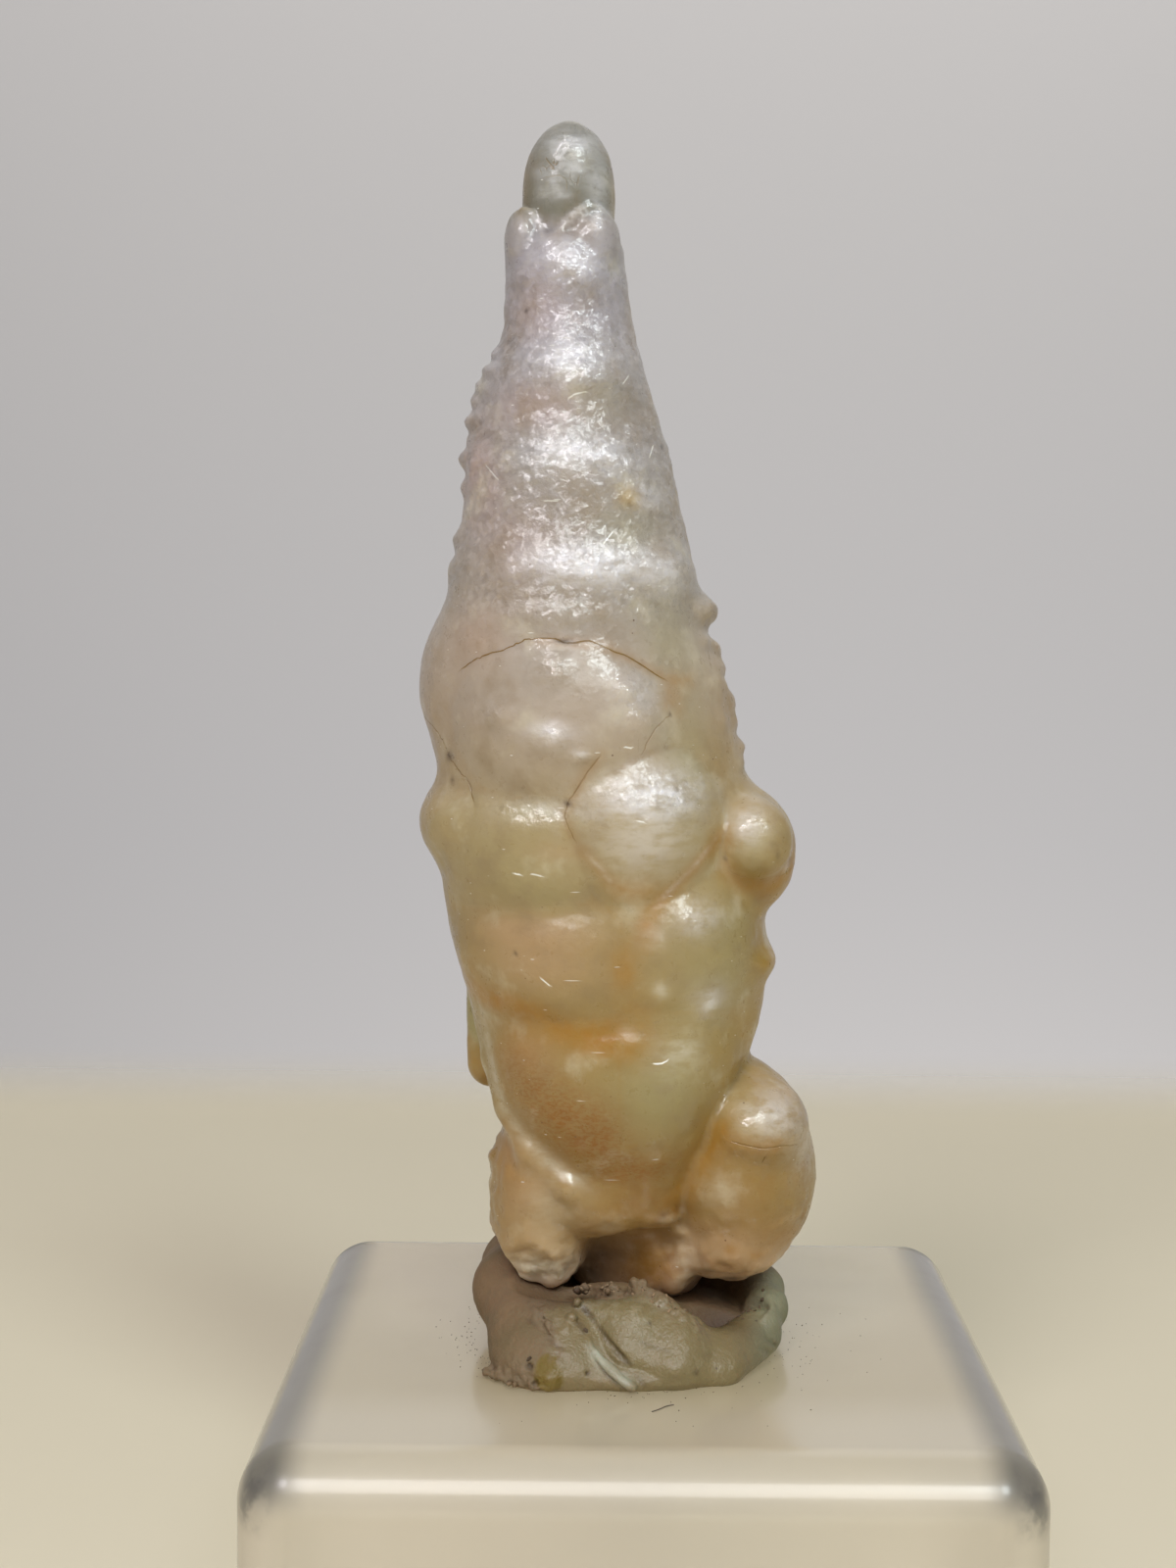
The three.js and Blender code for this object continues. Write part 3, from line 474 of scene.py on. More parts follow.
        ((-6.4, -4.2, 60.0), (1.8, 3, 2.2), 0.35), ((-7.4, -6.6, 46.6), (2.6, 3, 2.6), 0.4),
        ((-9.4, -5.6, 41.6), (2.4, 3, 2.0), 0.4), ((-6.6, -5.6, 9.6), (2.4, 3, 3.2), 0.5),
        ((-7.8, -4.7, 12.2), (1.0, 2, 1.2), 0.5), ((-6.6, -7.0, 18.4), (2.0, 3, 1.6), 0.5),
        ((-2.0, -6.4, 8.0), (1.4, 3, 1.2), 0.3), ((0.2, -2.6, 5.2), (2.4, 1.6, 1.6), 0.6),
        ((2.5, -3.8, 5.0), (1.2, 1.6, 2.2), 0.6), ((8.6, -3.6, 15.6), (1.0, 2, 0.7), 0.4),
        ((-5.0, -8.2, 29.8), (1.4, 3, 0.6), 0.3), ((5.4, -6.0, 8.0), (2.0, 3, 2.0), 0.3),
        ((-5.0, 6.6, 40.0), (3.0, 3, 3.0), 0.4), ((1.0, 5.4, 50.0), (2.4, 3, 3.0), 0.3),
        ((-5.0, 7.4, 20.0), (3.0, 3, 2.4), 0.4),
    ],
    "greenSpots": [
        ((2.6, -6.4, 35.6), (2.0, 3, 4.2), 0.6), ((3.4, -6.4, 23.0), (3.6, 3, 3.6), 0.55),
        ((0.9, -7.9, 16.4), (2.6, 3, 2.6), 0.75), ((1.4, -6.4, 41.6), (1.8, 3, 2.6), 0.45),
        ((-2.6, -5.8, 55.0), (2.2, 3, 1.6), 0.35), ((-1.0, -6.2, 47.8), (2.4, 3, 1.4), 0.35),
        ((-7.6, -7.6, 29.0), (3.4, 3, 2.0), 0.3), ((-5.6, -8.0, 27.4), (2.4, 3, 1.0), 0.3),
        ((5.8, -4.6, 25.6), (1.6, 4, 1.6), 0.4), ((6.4, -6.2, 30.2), (2.0, 2, 1.8), 0.45),
        ((6.8, -4.8, 29.4), (2.4, 3, 1.6), 0.6), ((8.4, -4.0, 9.6), (2.4, 4, 3.0), 0.4),
        ((-5.0, -6.2, 7.6), (2.6, 3, 2.0), 0.3), ((4.4, 7.0, 33.0), (3.0, 3, 4.0), 0.5),
        ((-2.6, 7.6, 17.0), (3.0, 3, 3.0), 0.45), ((-9.9, 2.4, 18.4), (1.9, 3.6, 4.2), 1.0),
    ],
    "amberSpots": [
        ((-1.1, -5.9, 49.5), (0.62, 3, 0.58), 1.0), ((7.4, -3.4, 27.4), (2.4, 3, 1.4), 0.6),
        ((7.2, -3.0, 24.0), (1.4, 4, 3.0), 0.5), ((7.6, -4.6, 9.0), (3.5, 4, 3.5), 0.25),
        ((-0.9, -0.5, 60.0), (0.45, 2.4, 3.0), 0.5), ((0.2, -0.5, 55.0), (0.45, 2.4, 3.0), 0.5),
        ((2.6, -0.5, 46.5), (0.5, 2.4, 3.0), 0.5), ((-1.9, -0.8, 67.0), (0.35, 2, 2.6), 0.6),
        ((8.9, -0.6, 27.6), (2.2, 5, 2.6), 1.0), ((7.8, -0.6, 22.6), (1.3, 4, 3.0), 0.65),
        ((6.6, -3.0, 17.6), (1.6, 4, 2.6), 0.55), ((7.6, -1.0, 25.0), (1.1, 4, 2.0), 0.8),
        ((4.0, -5.2, 33.4), (1.4, 3, 2.4), 0.25), ((4.7, -5.6, 19.0), (1.2, 3, 2.0), 0.25),
        ((4.7, -0.4, 38.0), (1.2, 4, 6.0), 0.4), ((-7.2, -0.8, 67.0), (0.6, 2, 2.6), 0.35),
        ((9.6, 1.4, 9.0), (1.6, 4, 3.6), 0.3), ((1.6, -0.6, 50.0), (0.9, 3, 4.0), 0.3),
        ((7.4, 4.0, 26.0), (1.6, 3, 3.0), 0.5),
    ],
    # dark marks and small pits, with painted shade in the recess under the stone
    "dirtAndShadeSpots": [
        ((-0.8, -2.4, 5.0), (1.9, 2.2, 1.9), 0.78), ((5.4, -3.8, 4.4), (0.5, 1, 0.3), 0.8),
        ((6.3, -3.6, 4.6), (0.3, 1, 0.22), 0.7), ((-2.4, -2.4, 5.2), (1.4, 1.8, 1.6), 0.8),
        ((-4.3, -8.2, 32.55), (0.16, 1, 0.16), 1.0), ((1.3, -6.8, 37.4), (0.09, 1, 0.09), 0.9),
        ((1.1, -7.1, 35.5), (0.08, 1, 0.08), 0.8), ((4.5, -5.3, 29.3), (0.09, 1, 0.13), 1.0),
        ((-11.2, -3.8, 34.8), (0.22, 1, 0.28), 0.9), ((-11.0, -4.0, 33.4), (0.12, 1, 0.22), 0.7),
        ((-4.6, -7.9, 41.45), (0.55, 1, 0.10), 0.9), ((7.3, -6.2, 30.1), (0.3, 1, 0.12), 0.3),
        ((7.5, -5.8, 29.5), (0.12, 1, 0.4), 0.4), ((8.4, -3.0, 28.9), (0.12, 1, 0.5), 0.35),
        ((-7.2, -7.6, 24.1), (0.12, 1, 0.12), 0.8), ((-7.9, -3.0, 58.3), (0.14, 1, 0.14), 0.9),
        ((-6.9, -3.7, 60.0), (0.12, 1, 0.12), 0.8), ((-4.2, -3.6, 66.2), (0.08, 1, 0.08), 0.9),
        ((-5.8, -4.0, 64.4), (0.25, 1, 0.2), 0.5), ((0.8, -2.7, 52.5), (0.1, 1, 0.12), 0.9),
        ((-8.8, 0.0, 27.0), (0.2, 2, 0.2), 0.4), ((2.2, -5.2, 9.0), (0.9, 1.6, 0.5), 0.35),
        ((1.2, -5.6, 8.6), (0.35, 1.6, 0.3), 0.6),
    ],
    "nicks": [  # short pale scratches, kept with the cracks as negative strength
        ([(-9.1, -4.3, 51.3), (-8.4, -5.2, 50.4)], -0.6),
        ([(-4.5, -5.8, 54.9), (-4.0, -5.7, 55.2), (-3.4, -5.7, 55.3)], -0.6),
        ([(-5.8, -6.4, 49.2), (-5.0, -6.6, 49.2)], -0.6), ([(-1.5, -4.5, 55.8), (-1.1, -3.9, 56.4)], -0.6),
        ([(0.1, -4.3, 51.8), (0.3, -3.6, 52.5)], -0.8), ([(-2.5, -6.9, 46.8), (-1.9, -6.4, 47.6)], -1.0),
        ([(-7.4, -7.9, 28.6), (-6.8, -8.1, 28.5)], -0.9), ([(-6.4, -8.3, 28.6), (-5.7, -8.4, 28.5)], -0.7),
        ([(-5.8, -8.2, 22.8), (-5.2, -8.3, 22.3)], -0.9), ([(-0.6, -9.2, 31.7), (-0.1, -9.1, 31.6)], -0.8),
        ([(-1.2, -8.5, 35.7), (-0.8, -8.4, 35.6)], -0.7),
        ([(0.5, -8.2, 18.0), (1.0, -8.2, 18.0), (1.4, -8.1, 18.2)], -1.0),
        ([(2.0, 7.6, 33.0), (2.9, 7.4, 33.6)], -0.8), ([(-4.0, 7.9, 25.0), (-3.2, 7.9, 24.8)], -0.8),
    ],
    "frosted": [  # broken, matt undersides of the feet
        ((-5.6, -3.0, 5.0), (3.2, 5.0, 1.5), 1.0), ((-8.4, -2.4, 9.4), (1.2, 3.0, 3.6), 0.8),
        ((5.6, -3.0, 4.8), (3.8, 5.0, 1.4), 0.9), ((9.2, -2.6, 8.4), (1.6, 4.0, 3.4), 0.45),
        ((5.0, -5.0, 9.0), (4.0, 4.0, 4.5), 0.22), ((-5.4, -5.4, 9.0), (3.0, 3.0, 4.0), 0.25),
        ((-4.6, -7.4, 15.4), (3.4, 3, 3.0), 0.1),
        ((-1.6, -4.6, 7.6), (1.6, 2.0, 1.0), 0.6), ((1.6, -3.4, 6.4), (2.2, 2.0, 1.0), 0.6),
    ],
    # places with strong wrinkles: centre, reach, strength
    "wrinkled": [
        ((-4.3, -2.0, 61.8), (5, 9, 1.4), 0.7), ((-4.3, -2.0, 57.6), (6, 9, 2.6), 0.95),
        ((-4.3, -2.0, 51.4), (8, 12, 2.4), 0.95), ((-3.6, -2.0, 46.8), (8, 12, 2.6), 0.9),
        ((-4.3, -2.0, 54.0), (9, 12, 8.0), 0.4),
        ((0.6, -8.0, 33.0), (3.2, 3, 1.3), 0.95), ((-6.0, -7.6, 32.0), (3.0, 3, 0.8), 0.8),
        ((-3.5, -7.0, 43.9), (8, 10, 1.7), 0.7), ((-2.9, -4.2, 65.2), (0.5, 3, 0.8), 0.5),
        ((-4.2, -3.0, 69.6), (1.6, 3, 0.9), 0.6), ((6.3, -6.0, 31.2), (1.2, 2, 1.0), 0.35),
        ((-5.3, -8.0, 39.9), (0.9, 2, 0.8), 0.6), ((-0.8, -8.0, 38.6), (1.1, 2, 1.3), 0.8),
        ((-8.3, -7.5, 37.4), (0.7, 2, 0.6), 0.6), ((-5.2, -8.6, 36.3), (0.9, 2, 0.5), 0.5),
        ((-3.6, -8.8, 35.2), (0.6, 2, 0.4), 0.5), ((1.2, -6.8, 40.2), (0.8, 2, 0.5), 0.6),
        ((7.4, -6.2, 14.4), (2.2, 3, 1.6), 0.5), ((-5.6, -4.6, 5.6), (3.0, 3, 1.4), 0.45),
        ((3.0, -7.6, 26.0), (1.2, 3, 1.0), 0.5),
    ],
    "flanks": [  # centre, reach, count, bump radius, height
        ((-9.4, -2.0, 54.0), (0.9, 1.6, 3.8), 30, 0.5, 0.13),
        ((4.3, -1.8, 38.6), (0.8, 1.8, 5.0), 30, 0.55, 0.12),
        ((-10.9, -1.6, 46.4), (0.6, 1.6, 1.6), 8, 0.45, 0.12),
    ],
    # single teeth on the left outline: place, radius, height
    "teeth": [
        ((-8.9, -1.3, 57.9), 0.5, 0.3), ((-9.25, -1.3, 56.9), 0.46, 0.2), ((-9.7, -1.3, 56.05), 0.44, 0.42),
        ((-9.85, -1.3, 55.15), 0.44, 0.38), ((-9.8, -1.3, 53.85), 0.48, 0.44),
        ((-10.0, -1.2, 52.9), 0.4, 0.16), ((-10.3, -1.2, 51.9), 0.5, 0.38), ((-10.6, -1.2, 50.2), 0.5, 0.3),
        ((-10.85, -1.2, 47.0), 0.46, 0.24), ((-11.2, -1.2, 45.7), 0.44, 0.2),
        ((4.1, -1.0, 41.2), 0.5, 0.22), ((4.5, -1.0, 39.9), 0.46, 0.18), ((5.0, -1.0, 38.1), 0.5, 0.24),
        ((5.2, -1.0, 36.8), 0.46, 0.2), ((5.6, -1.0, 35.4), 0.5, 0.2), ((-8.9, -2.6, 11.3), 0.42, 0.34),
        ((-8.7, -2.2, 12.4), 0.4, 0.2), ((1.2, -1.0, 52.6), 0.3, 0.1),
    ],
}


# heights in mm
relief = {
    "run": (0.62, 0.8, 1.25),  # wrinkles run round the stone
    "wrinkle": 0.07, "pimple": 0.06, "broadFrost": 0.16, "fineFrost": 0.24, "swell": 0.07, "ripple": 0.035,
    "crackDepth": 0.03, "crackWidth": 0.2, "dirtDepth": 0.03,
}


def fineRelief(p):
    rough = spotMask(p, marks["wrinkled"])
    frosted = spotMask(p, marks["frosted"])
    long = p * np.array(relief["run"])
    folds = 0.4 - np.abs(noiseAt(long, 0.95, 6.6))
    wrinkle = noiseAt(long, 1.25, 3.1) + 0.6 * noiseAt(long, 0.62, 9.4) + 0.5 * folds
    pimples = 0.5 - np.minimum(lumpsAt(p * np.array([0.85, 1, 1.1]), 1.15), 1.0)
    lift = rough * (relief["wrinkle"] * wrinkle + relief["pimple"] * pimples)
    frost = relief["broadFrost"] * noiseAt(p, 1.6, 6.2) + relief["fineFrost"] * noiseAt(p, 0.7, 2.9)
    lift += frosted * frost
    lift += relief["swell"] * noiseAt(p, 2.6, 5.7) + relief["ripple"] * noiseAt(p, 0.9, 1.3)
    draw = np.random.default_rng(11)
    bumps = list(marks["teeth"])
    for centre, reach, count, radius, height in marks["flanks"]:
        places = np.array(centre) + draw.uniform(-1, 1, (count, 3)) * np.array(reach)
        near = pullOnto(opalField, places, rounds=5, least=0.2)
        sizes = draw.uniform(0.5, 1.0, count)
        bumps += [(place, radius * size, height * size) for place, size in zip(near, sizes)]
    for place, radius, height in bumps:
        q = np.linalg.norm((p - np.array(place)) * np.array([1, 0.5, 1]), axis=1) / radius
        lift += height * np.exp(-q * q) * smooth((1.9 - q) / 0.9)
    for path, amount in marks["cracks"]:
        d = pathDistance(p, path)[0]
        lift -= relief["crackDepth"] * amount * np.exp(-(d / relief["crackWidth"]) ** 2)
    for centre, reach, amount in marks["dirtAndShadeSpots"][2:]:  # the first two only darken
        q = (p - np.array(centre)) / (np.array(reach) * 1.3)
        lift -= relief["dirtDepth"] * amount * np.exp(-(q * q).sum(1))
    return lift


def makeOpal():
    points, faces = skinOf(opalField, *opal["room"], opal["cell"])
    faces = turnOut(opalField, points, faces)
    normal = normalsOf(points, faces)
    points = points + normal * fineRelief(points)[:, None]
    piece = makePiece("opal_body", points, faces)
    front = smooth((1.0 - points[:, 1]) / 2.0)
    _, gapFront = domeRise(points, opal["frontDomes"])
    _, gapBack = domeRise(points, opal["backDomes"])
    creaseFront = front * np.exp(-(gapFront / 0.05) ** 2) * 0.12
    creaseBack = (1 - front) * np.exp(-(gapBack / 0.16) ** 2) * 0.5
    # only the lower creases are stained
    crease = (creaseFront + creaseBack) * smooth((46 - points[:, 2]) / 12)
    lines, spots = pathMask(points, marks["stainPaths"]), spotMask(points, marks["stainSpots"])
    stain = 1 - (1 - lines) * (1 - spots) * (1 - crease)
    # pale holds the pearly patches and pale rims together with the painted highlights
    pale = 1 - (1 - spotMask(points, marks["pearlAndHighlightSpots"])) * (1 - pathMask(points, marks["rimPaths"]))
    storeMask(piece, "stains",
              [stain, spotMask(points, marks["brownSpots"]), pale, spotMask(points, marks["amberSpots"])])
    storeMask(piece, "tones", [spotMask(points, marks["pinkSpots"]), spotMask(points, marks["greenSpots"]),
                               spotMask(points, marks["wrinkled"]), spotMask(points, marks["dirtAndShadeSpots"])])
    storeMask(piece, "cracks", lineChannels(points, marks["cracks"] + marks["nicks"]))
    print("opal skin:", len(points), "points,", 2 * len(faces), "triangles")
    return piece


# the mineral tack
tack = {
    "cell": 0.135, "room": ((-11.2, -12.2, -0.5), (10.2, 9.8, 7.4)), "seatGap": 0.02,
    # pad under the opal: centre, radii
    "pads": [((-0.6, -0.8, 0.6), (8.0, 8.3, 2.2)), ((-4.7, -6.0, 1.3), (3.9, 3.3, 2.7)),
             ((-1.6, -4.2, 1.9), (4.4, 2.6, 2.3))],
    # roll round the opal and strand over its front: place, radius, softness
    "ring": [
        ((-6.3, -4.6, 1.9), 2.5, 0.8), ((-7.3, -1.0, 2.9), 2.45, 0.8), ((-7.0, 2.2, 3.2), 2.4, 0.8),
        ((-4.0, 5.6, 3.0), 2.3, 0.8), ((1.5, 6.3, 2.8), 2.1, 0.8), ((5.6, 4.2, 2.6), 1.9, 0.8),
        ((7.2, 1.0, 2.3), 1.45, 0.8), ((7.5, -2.0, 2.2), 1.15, 0.6), ((6.9, -3.8, 1.8), 1.3, 0.6),
    ],
    "strand": [
        ((-3.0, -6.7, 3.1), 1.0, 0.5), ((-0.6, -7.3, 2.4), 1.75, 0.5), ((1.8, -7.2, 1.6), 2.0, 0.5),
        ((4.3, -6.5, 0.8), 1.4, 0.5), ((6.9, -3.8, 1.3), 1.35, 0.5),
    ],
    "crest": ((0.5, -6.2, 3.2), (1.7, 1.2, 1.2)),
    # the front has spread forwards at its foot
    "footReach": 1.5, "footBack": -3.0, "footDepth": 6.0, "footTop": 3.6,
    # dark hollow between the strand and the haunch
    "hollow": ((4.9, -3.7, 3.0), (2.6, 1.6, 2.3)),
    "cleft": [(-3.3, -7.4, 3.9), (-2.6, -8.3, 3.2), (-1.85, -8.75, 2.35), (-0.95, -9.05, 1.6),
              (-0.1, -9.2, 0.8), (0.35, -9.2, 0.2)],
    "crevice": ((-5.5, -5.1, 4.6), (3.4, 1.6, 1.05), 14),  # open gap under the left foot
    "cleftWidth": 0.2,
    # painted shade in the hollow behind the strand and in the crevice under the left foot
    "paintedShadeSpots": [((5.2, -3.2, 1.2), (2.8, 2.2, 1.1), 0.95), ((5.2, -2.6, 3.0), (2.6, 1.6, 1.2), 0.1),
                  ((4.6, -5.3, 1.9), (2.0, 0.9, 0.7), 0.85), ((-4.5, -5.6, 4.05), (2.2, 1.9, 0.75), 1.0)],
    "strip": [(-2.95, -8.6, 2.5), (-2.75, -8.75, 2.1), (-2.1, -9.0, 1.5), (-1.3, -9.2, 0.95),
              (-0.5, -9.25, 0.45)],
    "seam": [(-5.9, -7.3, 3.8), (-5.2, -8.2, 3.2), (-5.0, -8.7, 2.5), (-4.6, -9.0, 1.9)],
    "torn": [(-3.6, -5.4, 4.3), (-2.1, -5.0, 4.3), (-0.6, -5.5, 4.2), (0.2, -5.9, 4.2), (1.2, -6.9, 4.0),
             (2.3, -7.6, 3.5), (3.1, -7.6, 3.0)],
    "ragged": [(-8.7, -6.6, 0.35), (-7.6, -8.0, 0.45), (-6.6, -8.7, 0.5), (-5.6, -9.1, 0.3)],
    "creases": [
        ([(5.9, -7.0, 2.3), (6.8, -6.2, 1.5), (7.5, -5.0, 0.6)], 0.08, 0.26),
        ([(6.5, -6.0, 2.4), (7.2, -5.5, 1.7), (7.8, -4.6, 0.9)], 0.06, 0.14),
        ([(5.2, -7.4, 2.0), (6.2, -6.9, 1.2), (7.0, -6.0, 0.3)], 0.06, 0.12),
        ([(-5.7, -7.6, 3.5), (-5.4, -8.4, 3.0), (-5.0, -8.9, 2.4), (-4.3, -9.1, 2.1)], 0.08, 0.10),
        ([(-1.2, -9.1, 0.9), (0.6, -9.3, 0.8), (3.0, -9.1, 0.7), (5.2, -8.0, 0.6)], 0.14, 0.10),
        ([(-0.4, -9.0, 2.6), (1.8, -9.1, 2.0), (4.4, -8.0, 1.6)], 0.12, 0.07),
        ([(-6.6, -7.6, 3.4), (-5.2, -8.6, 2.4), (-4.4, -9.0, 1.2)], 0.12, 0.12),
        ([(-9.6, 0.4, 1.6), (-9.2, 3.0, 2.2), (-7.8, 5.4, 2.0)], 0.14, 0.22),
        ([(-3.0, 8.0, 1.6), (0.6, 8.4, 2.2), (3.4, 7.6, 1.8)], 0.14, 0.24),
        ([(7.2, 4.4, 3.2), (8.3, 2.2, 1.8), (8.7, 0.6, 0.8)], 0.12, 0.22),
    ],
    "pits": [
        ((-3.4, -8.35, 3.3), 0.24, 0.6), ((-3.2, -8.5, 2.95), 0.16, 0.4), ((-6.2, -8.9, 1.3), 0.17, 0.4),
        ((3.1, -8.9, 1.0), 0.16, 0.25), ((-5.9, -9.0, 0.5), 0.14, 0.25),
        ((0.5, -8.7, 3.4), 0.1, 0.12), ((-3.0, -8.9, 1.0), 0.13, 0.16), ((-2.2, -9.1, 0.4), 0.12, 0.14),
    ],
    "inclusion": ((-5.1, -8.95, 1.0), (0.82, 0.5, 0.98)),
    # ragged lumps on the torn edge: place, radius
    "chunks": [((0.0, -5.9, 4.35), 0.42), ((0.4, -6.3, 4.25), 0.34), ((1.15, -6.8, 4.05), 0.38),
               ((0.8, -6.6, 4.05), 0.28), ((-1.9, -4.7, 4.15), 0.3), ((2.3, -7.5, 3.5), 0.26),
               ((-3.9, -8.1, 3.45), 0.3), ((-4.2, -8.4, 3.0), 0.26), ((-0.35, -5.6, 4.75), 0.3),
               ((0.1, -5.9, 4.8), 0.26), ((-3.6, -7.2, 4.05), 0.25)],
    "tornCount": 30, "edgeCount": 26,
}
drawTack = np.random.default_rng(5)


def alongPath(path, t):
    points = np.array(path, float)
    steps = np.r_[0, np.cumsum(np.linalg.norm(np.diff(points, axis=0), axis=1))]
    at = np.asarray(t) * steps[-1]
    return np.stack([np.interp(at, steps, points[:, k]) for k in range(3)], -1)


def lumpsAlong(path, count, spread, smallest, largest):
    places = alongPath(path, drawTack.uniform(0, 1, count))
    places += drawTack.normal(0, 1, (count, 3)) * np.array(spread)
    return list(zip(places, drawTack.uniform(smallest, largest, count)))


tornLumps = lumpsAlong(tack["torn"], tack["tornCount"], (0.25, 0.28, 0.14), 0.10, 0.24) + tack["chunks"]
tornLumps += lumpsAlong(tack["seam"], 16, (0.2, 0.1, 0.2), 0.08, 0.18)
edgeLumps = lumpsAlong(tack["ragged"], tack["edgeCount"], (0.2, 0.16, 0.1), 0.12, 0.26)


def footShift(p):
    front = smooth((tack["footBack"] - p[:, 1]) / tack["footDepth"])
    return tack["footReach"] * front * smooth((tack["footTop"] - p[:, 2]) / tack["footTop"])


def beforeSpread(p):
    return np.stack([p[:, 0], p[:, 1] + footShift(p), p[:, 2]], 1)


def tackField(standing):
    p = beforeSpread(standing)
    d = np.full(len(p), 9.0)
    for pad in tack["pads"]:
        d = join(d, ellipsoid(p, *pad), 0.8)
    d = joinRolls(d, p, tack["ring"])
    strand = join(joinRolls(np.full(len(p), 9.0), p, tack["strand"]), ellipsoid(p, *tack["crest"]), 0.5)
    d = carve(d, -ellipsoid(p, *tack["hollow"]), 0.4)
    d = carve(d, -ellipsoid(p, *tack["crevice"]), 0.15)
    d = join(d, strand, 0.08)
    for lumps, softness in ((tornLumps, 0.22), (edgeLumps, 0.16)):
        places = np.array([place for place, _ in lumps])
        near = ((p > places.min(0) - 0.8) & (p < places.max(0) + 0.8)).all(1)
        part, value = p[near], d[near]
        for place, radius in lumps:
            value = join(value, np.linalg.norm(part - place, axis=1) - radius, softness)
        d[near] = value
    d = carve(d, tack["cleftWidth"] - pathDistance(p, tack["cleft"])[0], 0.12)
    strip, _, down = pathDistance(p, tack["strip"])
    d = join(d, strip - 0.12 - 0.16 * np.clip(down * 2, 0, 1), 0.12)
    for path, width, depth in tack["creases"]:
        d = d + depth * np.exp(-(pathDistance(p, path)[0] / (width * 2)) ** 2)
    for place, radius, depth in tack["pits"]:
        d = carve(d, radius - np.linalg.norm(p - np.array(place) - np.array([0, -0.12, 0.0]), axis=1), 0.1)
    d = join(d, ellipsoid(p, *tack["inclusion"]), 0.06)
    d = np.maximum(d, -p[:, 2])
    inside = d < 0.6
    d[inside] = np.maximum(d[inside], tack["seatGap"] - opalField(standing[inside]))
    return d


def makeTack():
    points, faces = skinOf(tackField, *tack["room"], tack["cell"])
    faces = turnOut(tackField, points, faces)
    normal = normalsOf(points, faces)
    standing, points = points, beforeSpread(points)
    onStrand = smooth((0.35 - joinRolls(np.full(len(points), 9.0), points, tack["strand"])) / 0.3)
    # right of the seam the wad has the strand's colour
    onStrand = np.maximum(onStrand, smooth((points[:, 0] + 5.3 + 1.2 * noiseAt(points, 0.8, 3.3)) / 0.6)
                          * smooth((-6.5 - points[:, 1]) / 0.8) * 0.8)
    torn = np.minimum(pathDistance(points, tack["torn"])[0], pathDistance(points, tack["ragged"])[0])
    torn = np.minimum(torn, pathDistance(points, tack["seam"])[0] + 0.25)
    torn = np.exp(-(torn / 0.8) ** 2)
    lift = 0.05 * noiseAt(points, 1.5, 2.2) + 0.03 * noiseAt(points, 0.5, 7.7)
    lift += torn * (0.16 * noiseAt(points, 0.5, 4.4) + 0.13 * noiseAt(points, 0.27, 8.8))
    lift *= smooth(points[:, 2] / 0.25)
    standing = standing + normal * lift[:, None]
    standing[:, 2] = np.maximum(standing[:, 2], 0.0)
    piece = makePiece("tack_wad", standing, faces)
    points = beforeSpread(standing)
    # dark pits, partly dirt and partly painted shade
    dirtAndShade = spotMask(points, [(place, (r * 1.1,) * 3, 1.0) for place, r, _ in tack["pits"]])
    dirtAndShade = 1 - (1 - dirtAndShade) * (1 - spotMask(points, tack["paintedShadeSpots"]))
    # painted shade along the creases
    creases = [(path, width * 1.2, min(1, depth * 3)) for path, width, depth in tack["creases"]]
    dirtAndShade = 1 - (1 - dirtAndShade) * (1 - pathMask(points, creases))
    # painted shade inside the cleft
    fromCleft = pathDistance(points, tack["cleft"])[0] - tack["cleftWidth"]
    dirtAndShade = np.maximum(dirtAndShade, 0.85 * smooth((0.1 - fromCleft) / 0.16))
    # painted shade on the tack where the opal comes near
    underFoot = np.exp(-np.maximum(opalField(standing), 0) / 0.4)
    pale = pathMask(points, [(tack["strip"][1:], 0.32, 1.0)])
    inclusion = smooth((0.12 - ellipsoid(points, *tack["inclusion"])) / 0.12)
    storeMask(piece, "wear", [dirtAndShade, onStrand, torn, inclusion])
    bluish = smooth((points[:, 0] - 5.6) / 2.0) * smooth((2.0 - points[:, 1]) / 2.0)
    # the top of the strand is lightened as a painted highlight
    storeMask(piece, "cast", [pale, bluish, underFoot, smooth((points[:, 2] - 2.9) / 1.2) * onStrand])
    print("tack skin:", len(points), "points,", 2 * len(faces), "triangles")
    return piece


# the acrylic block
block = {"edge": 0.003, "edgeSteps": 12, "foot": 0.00025}


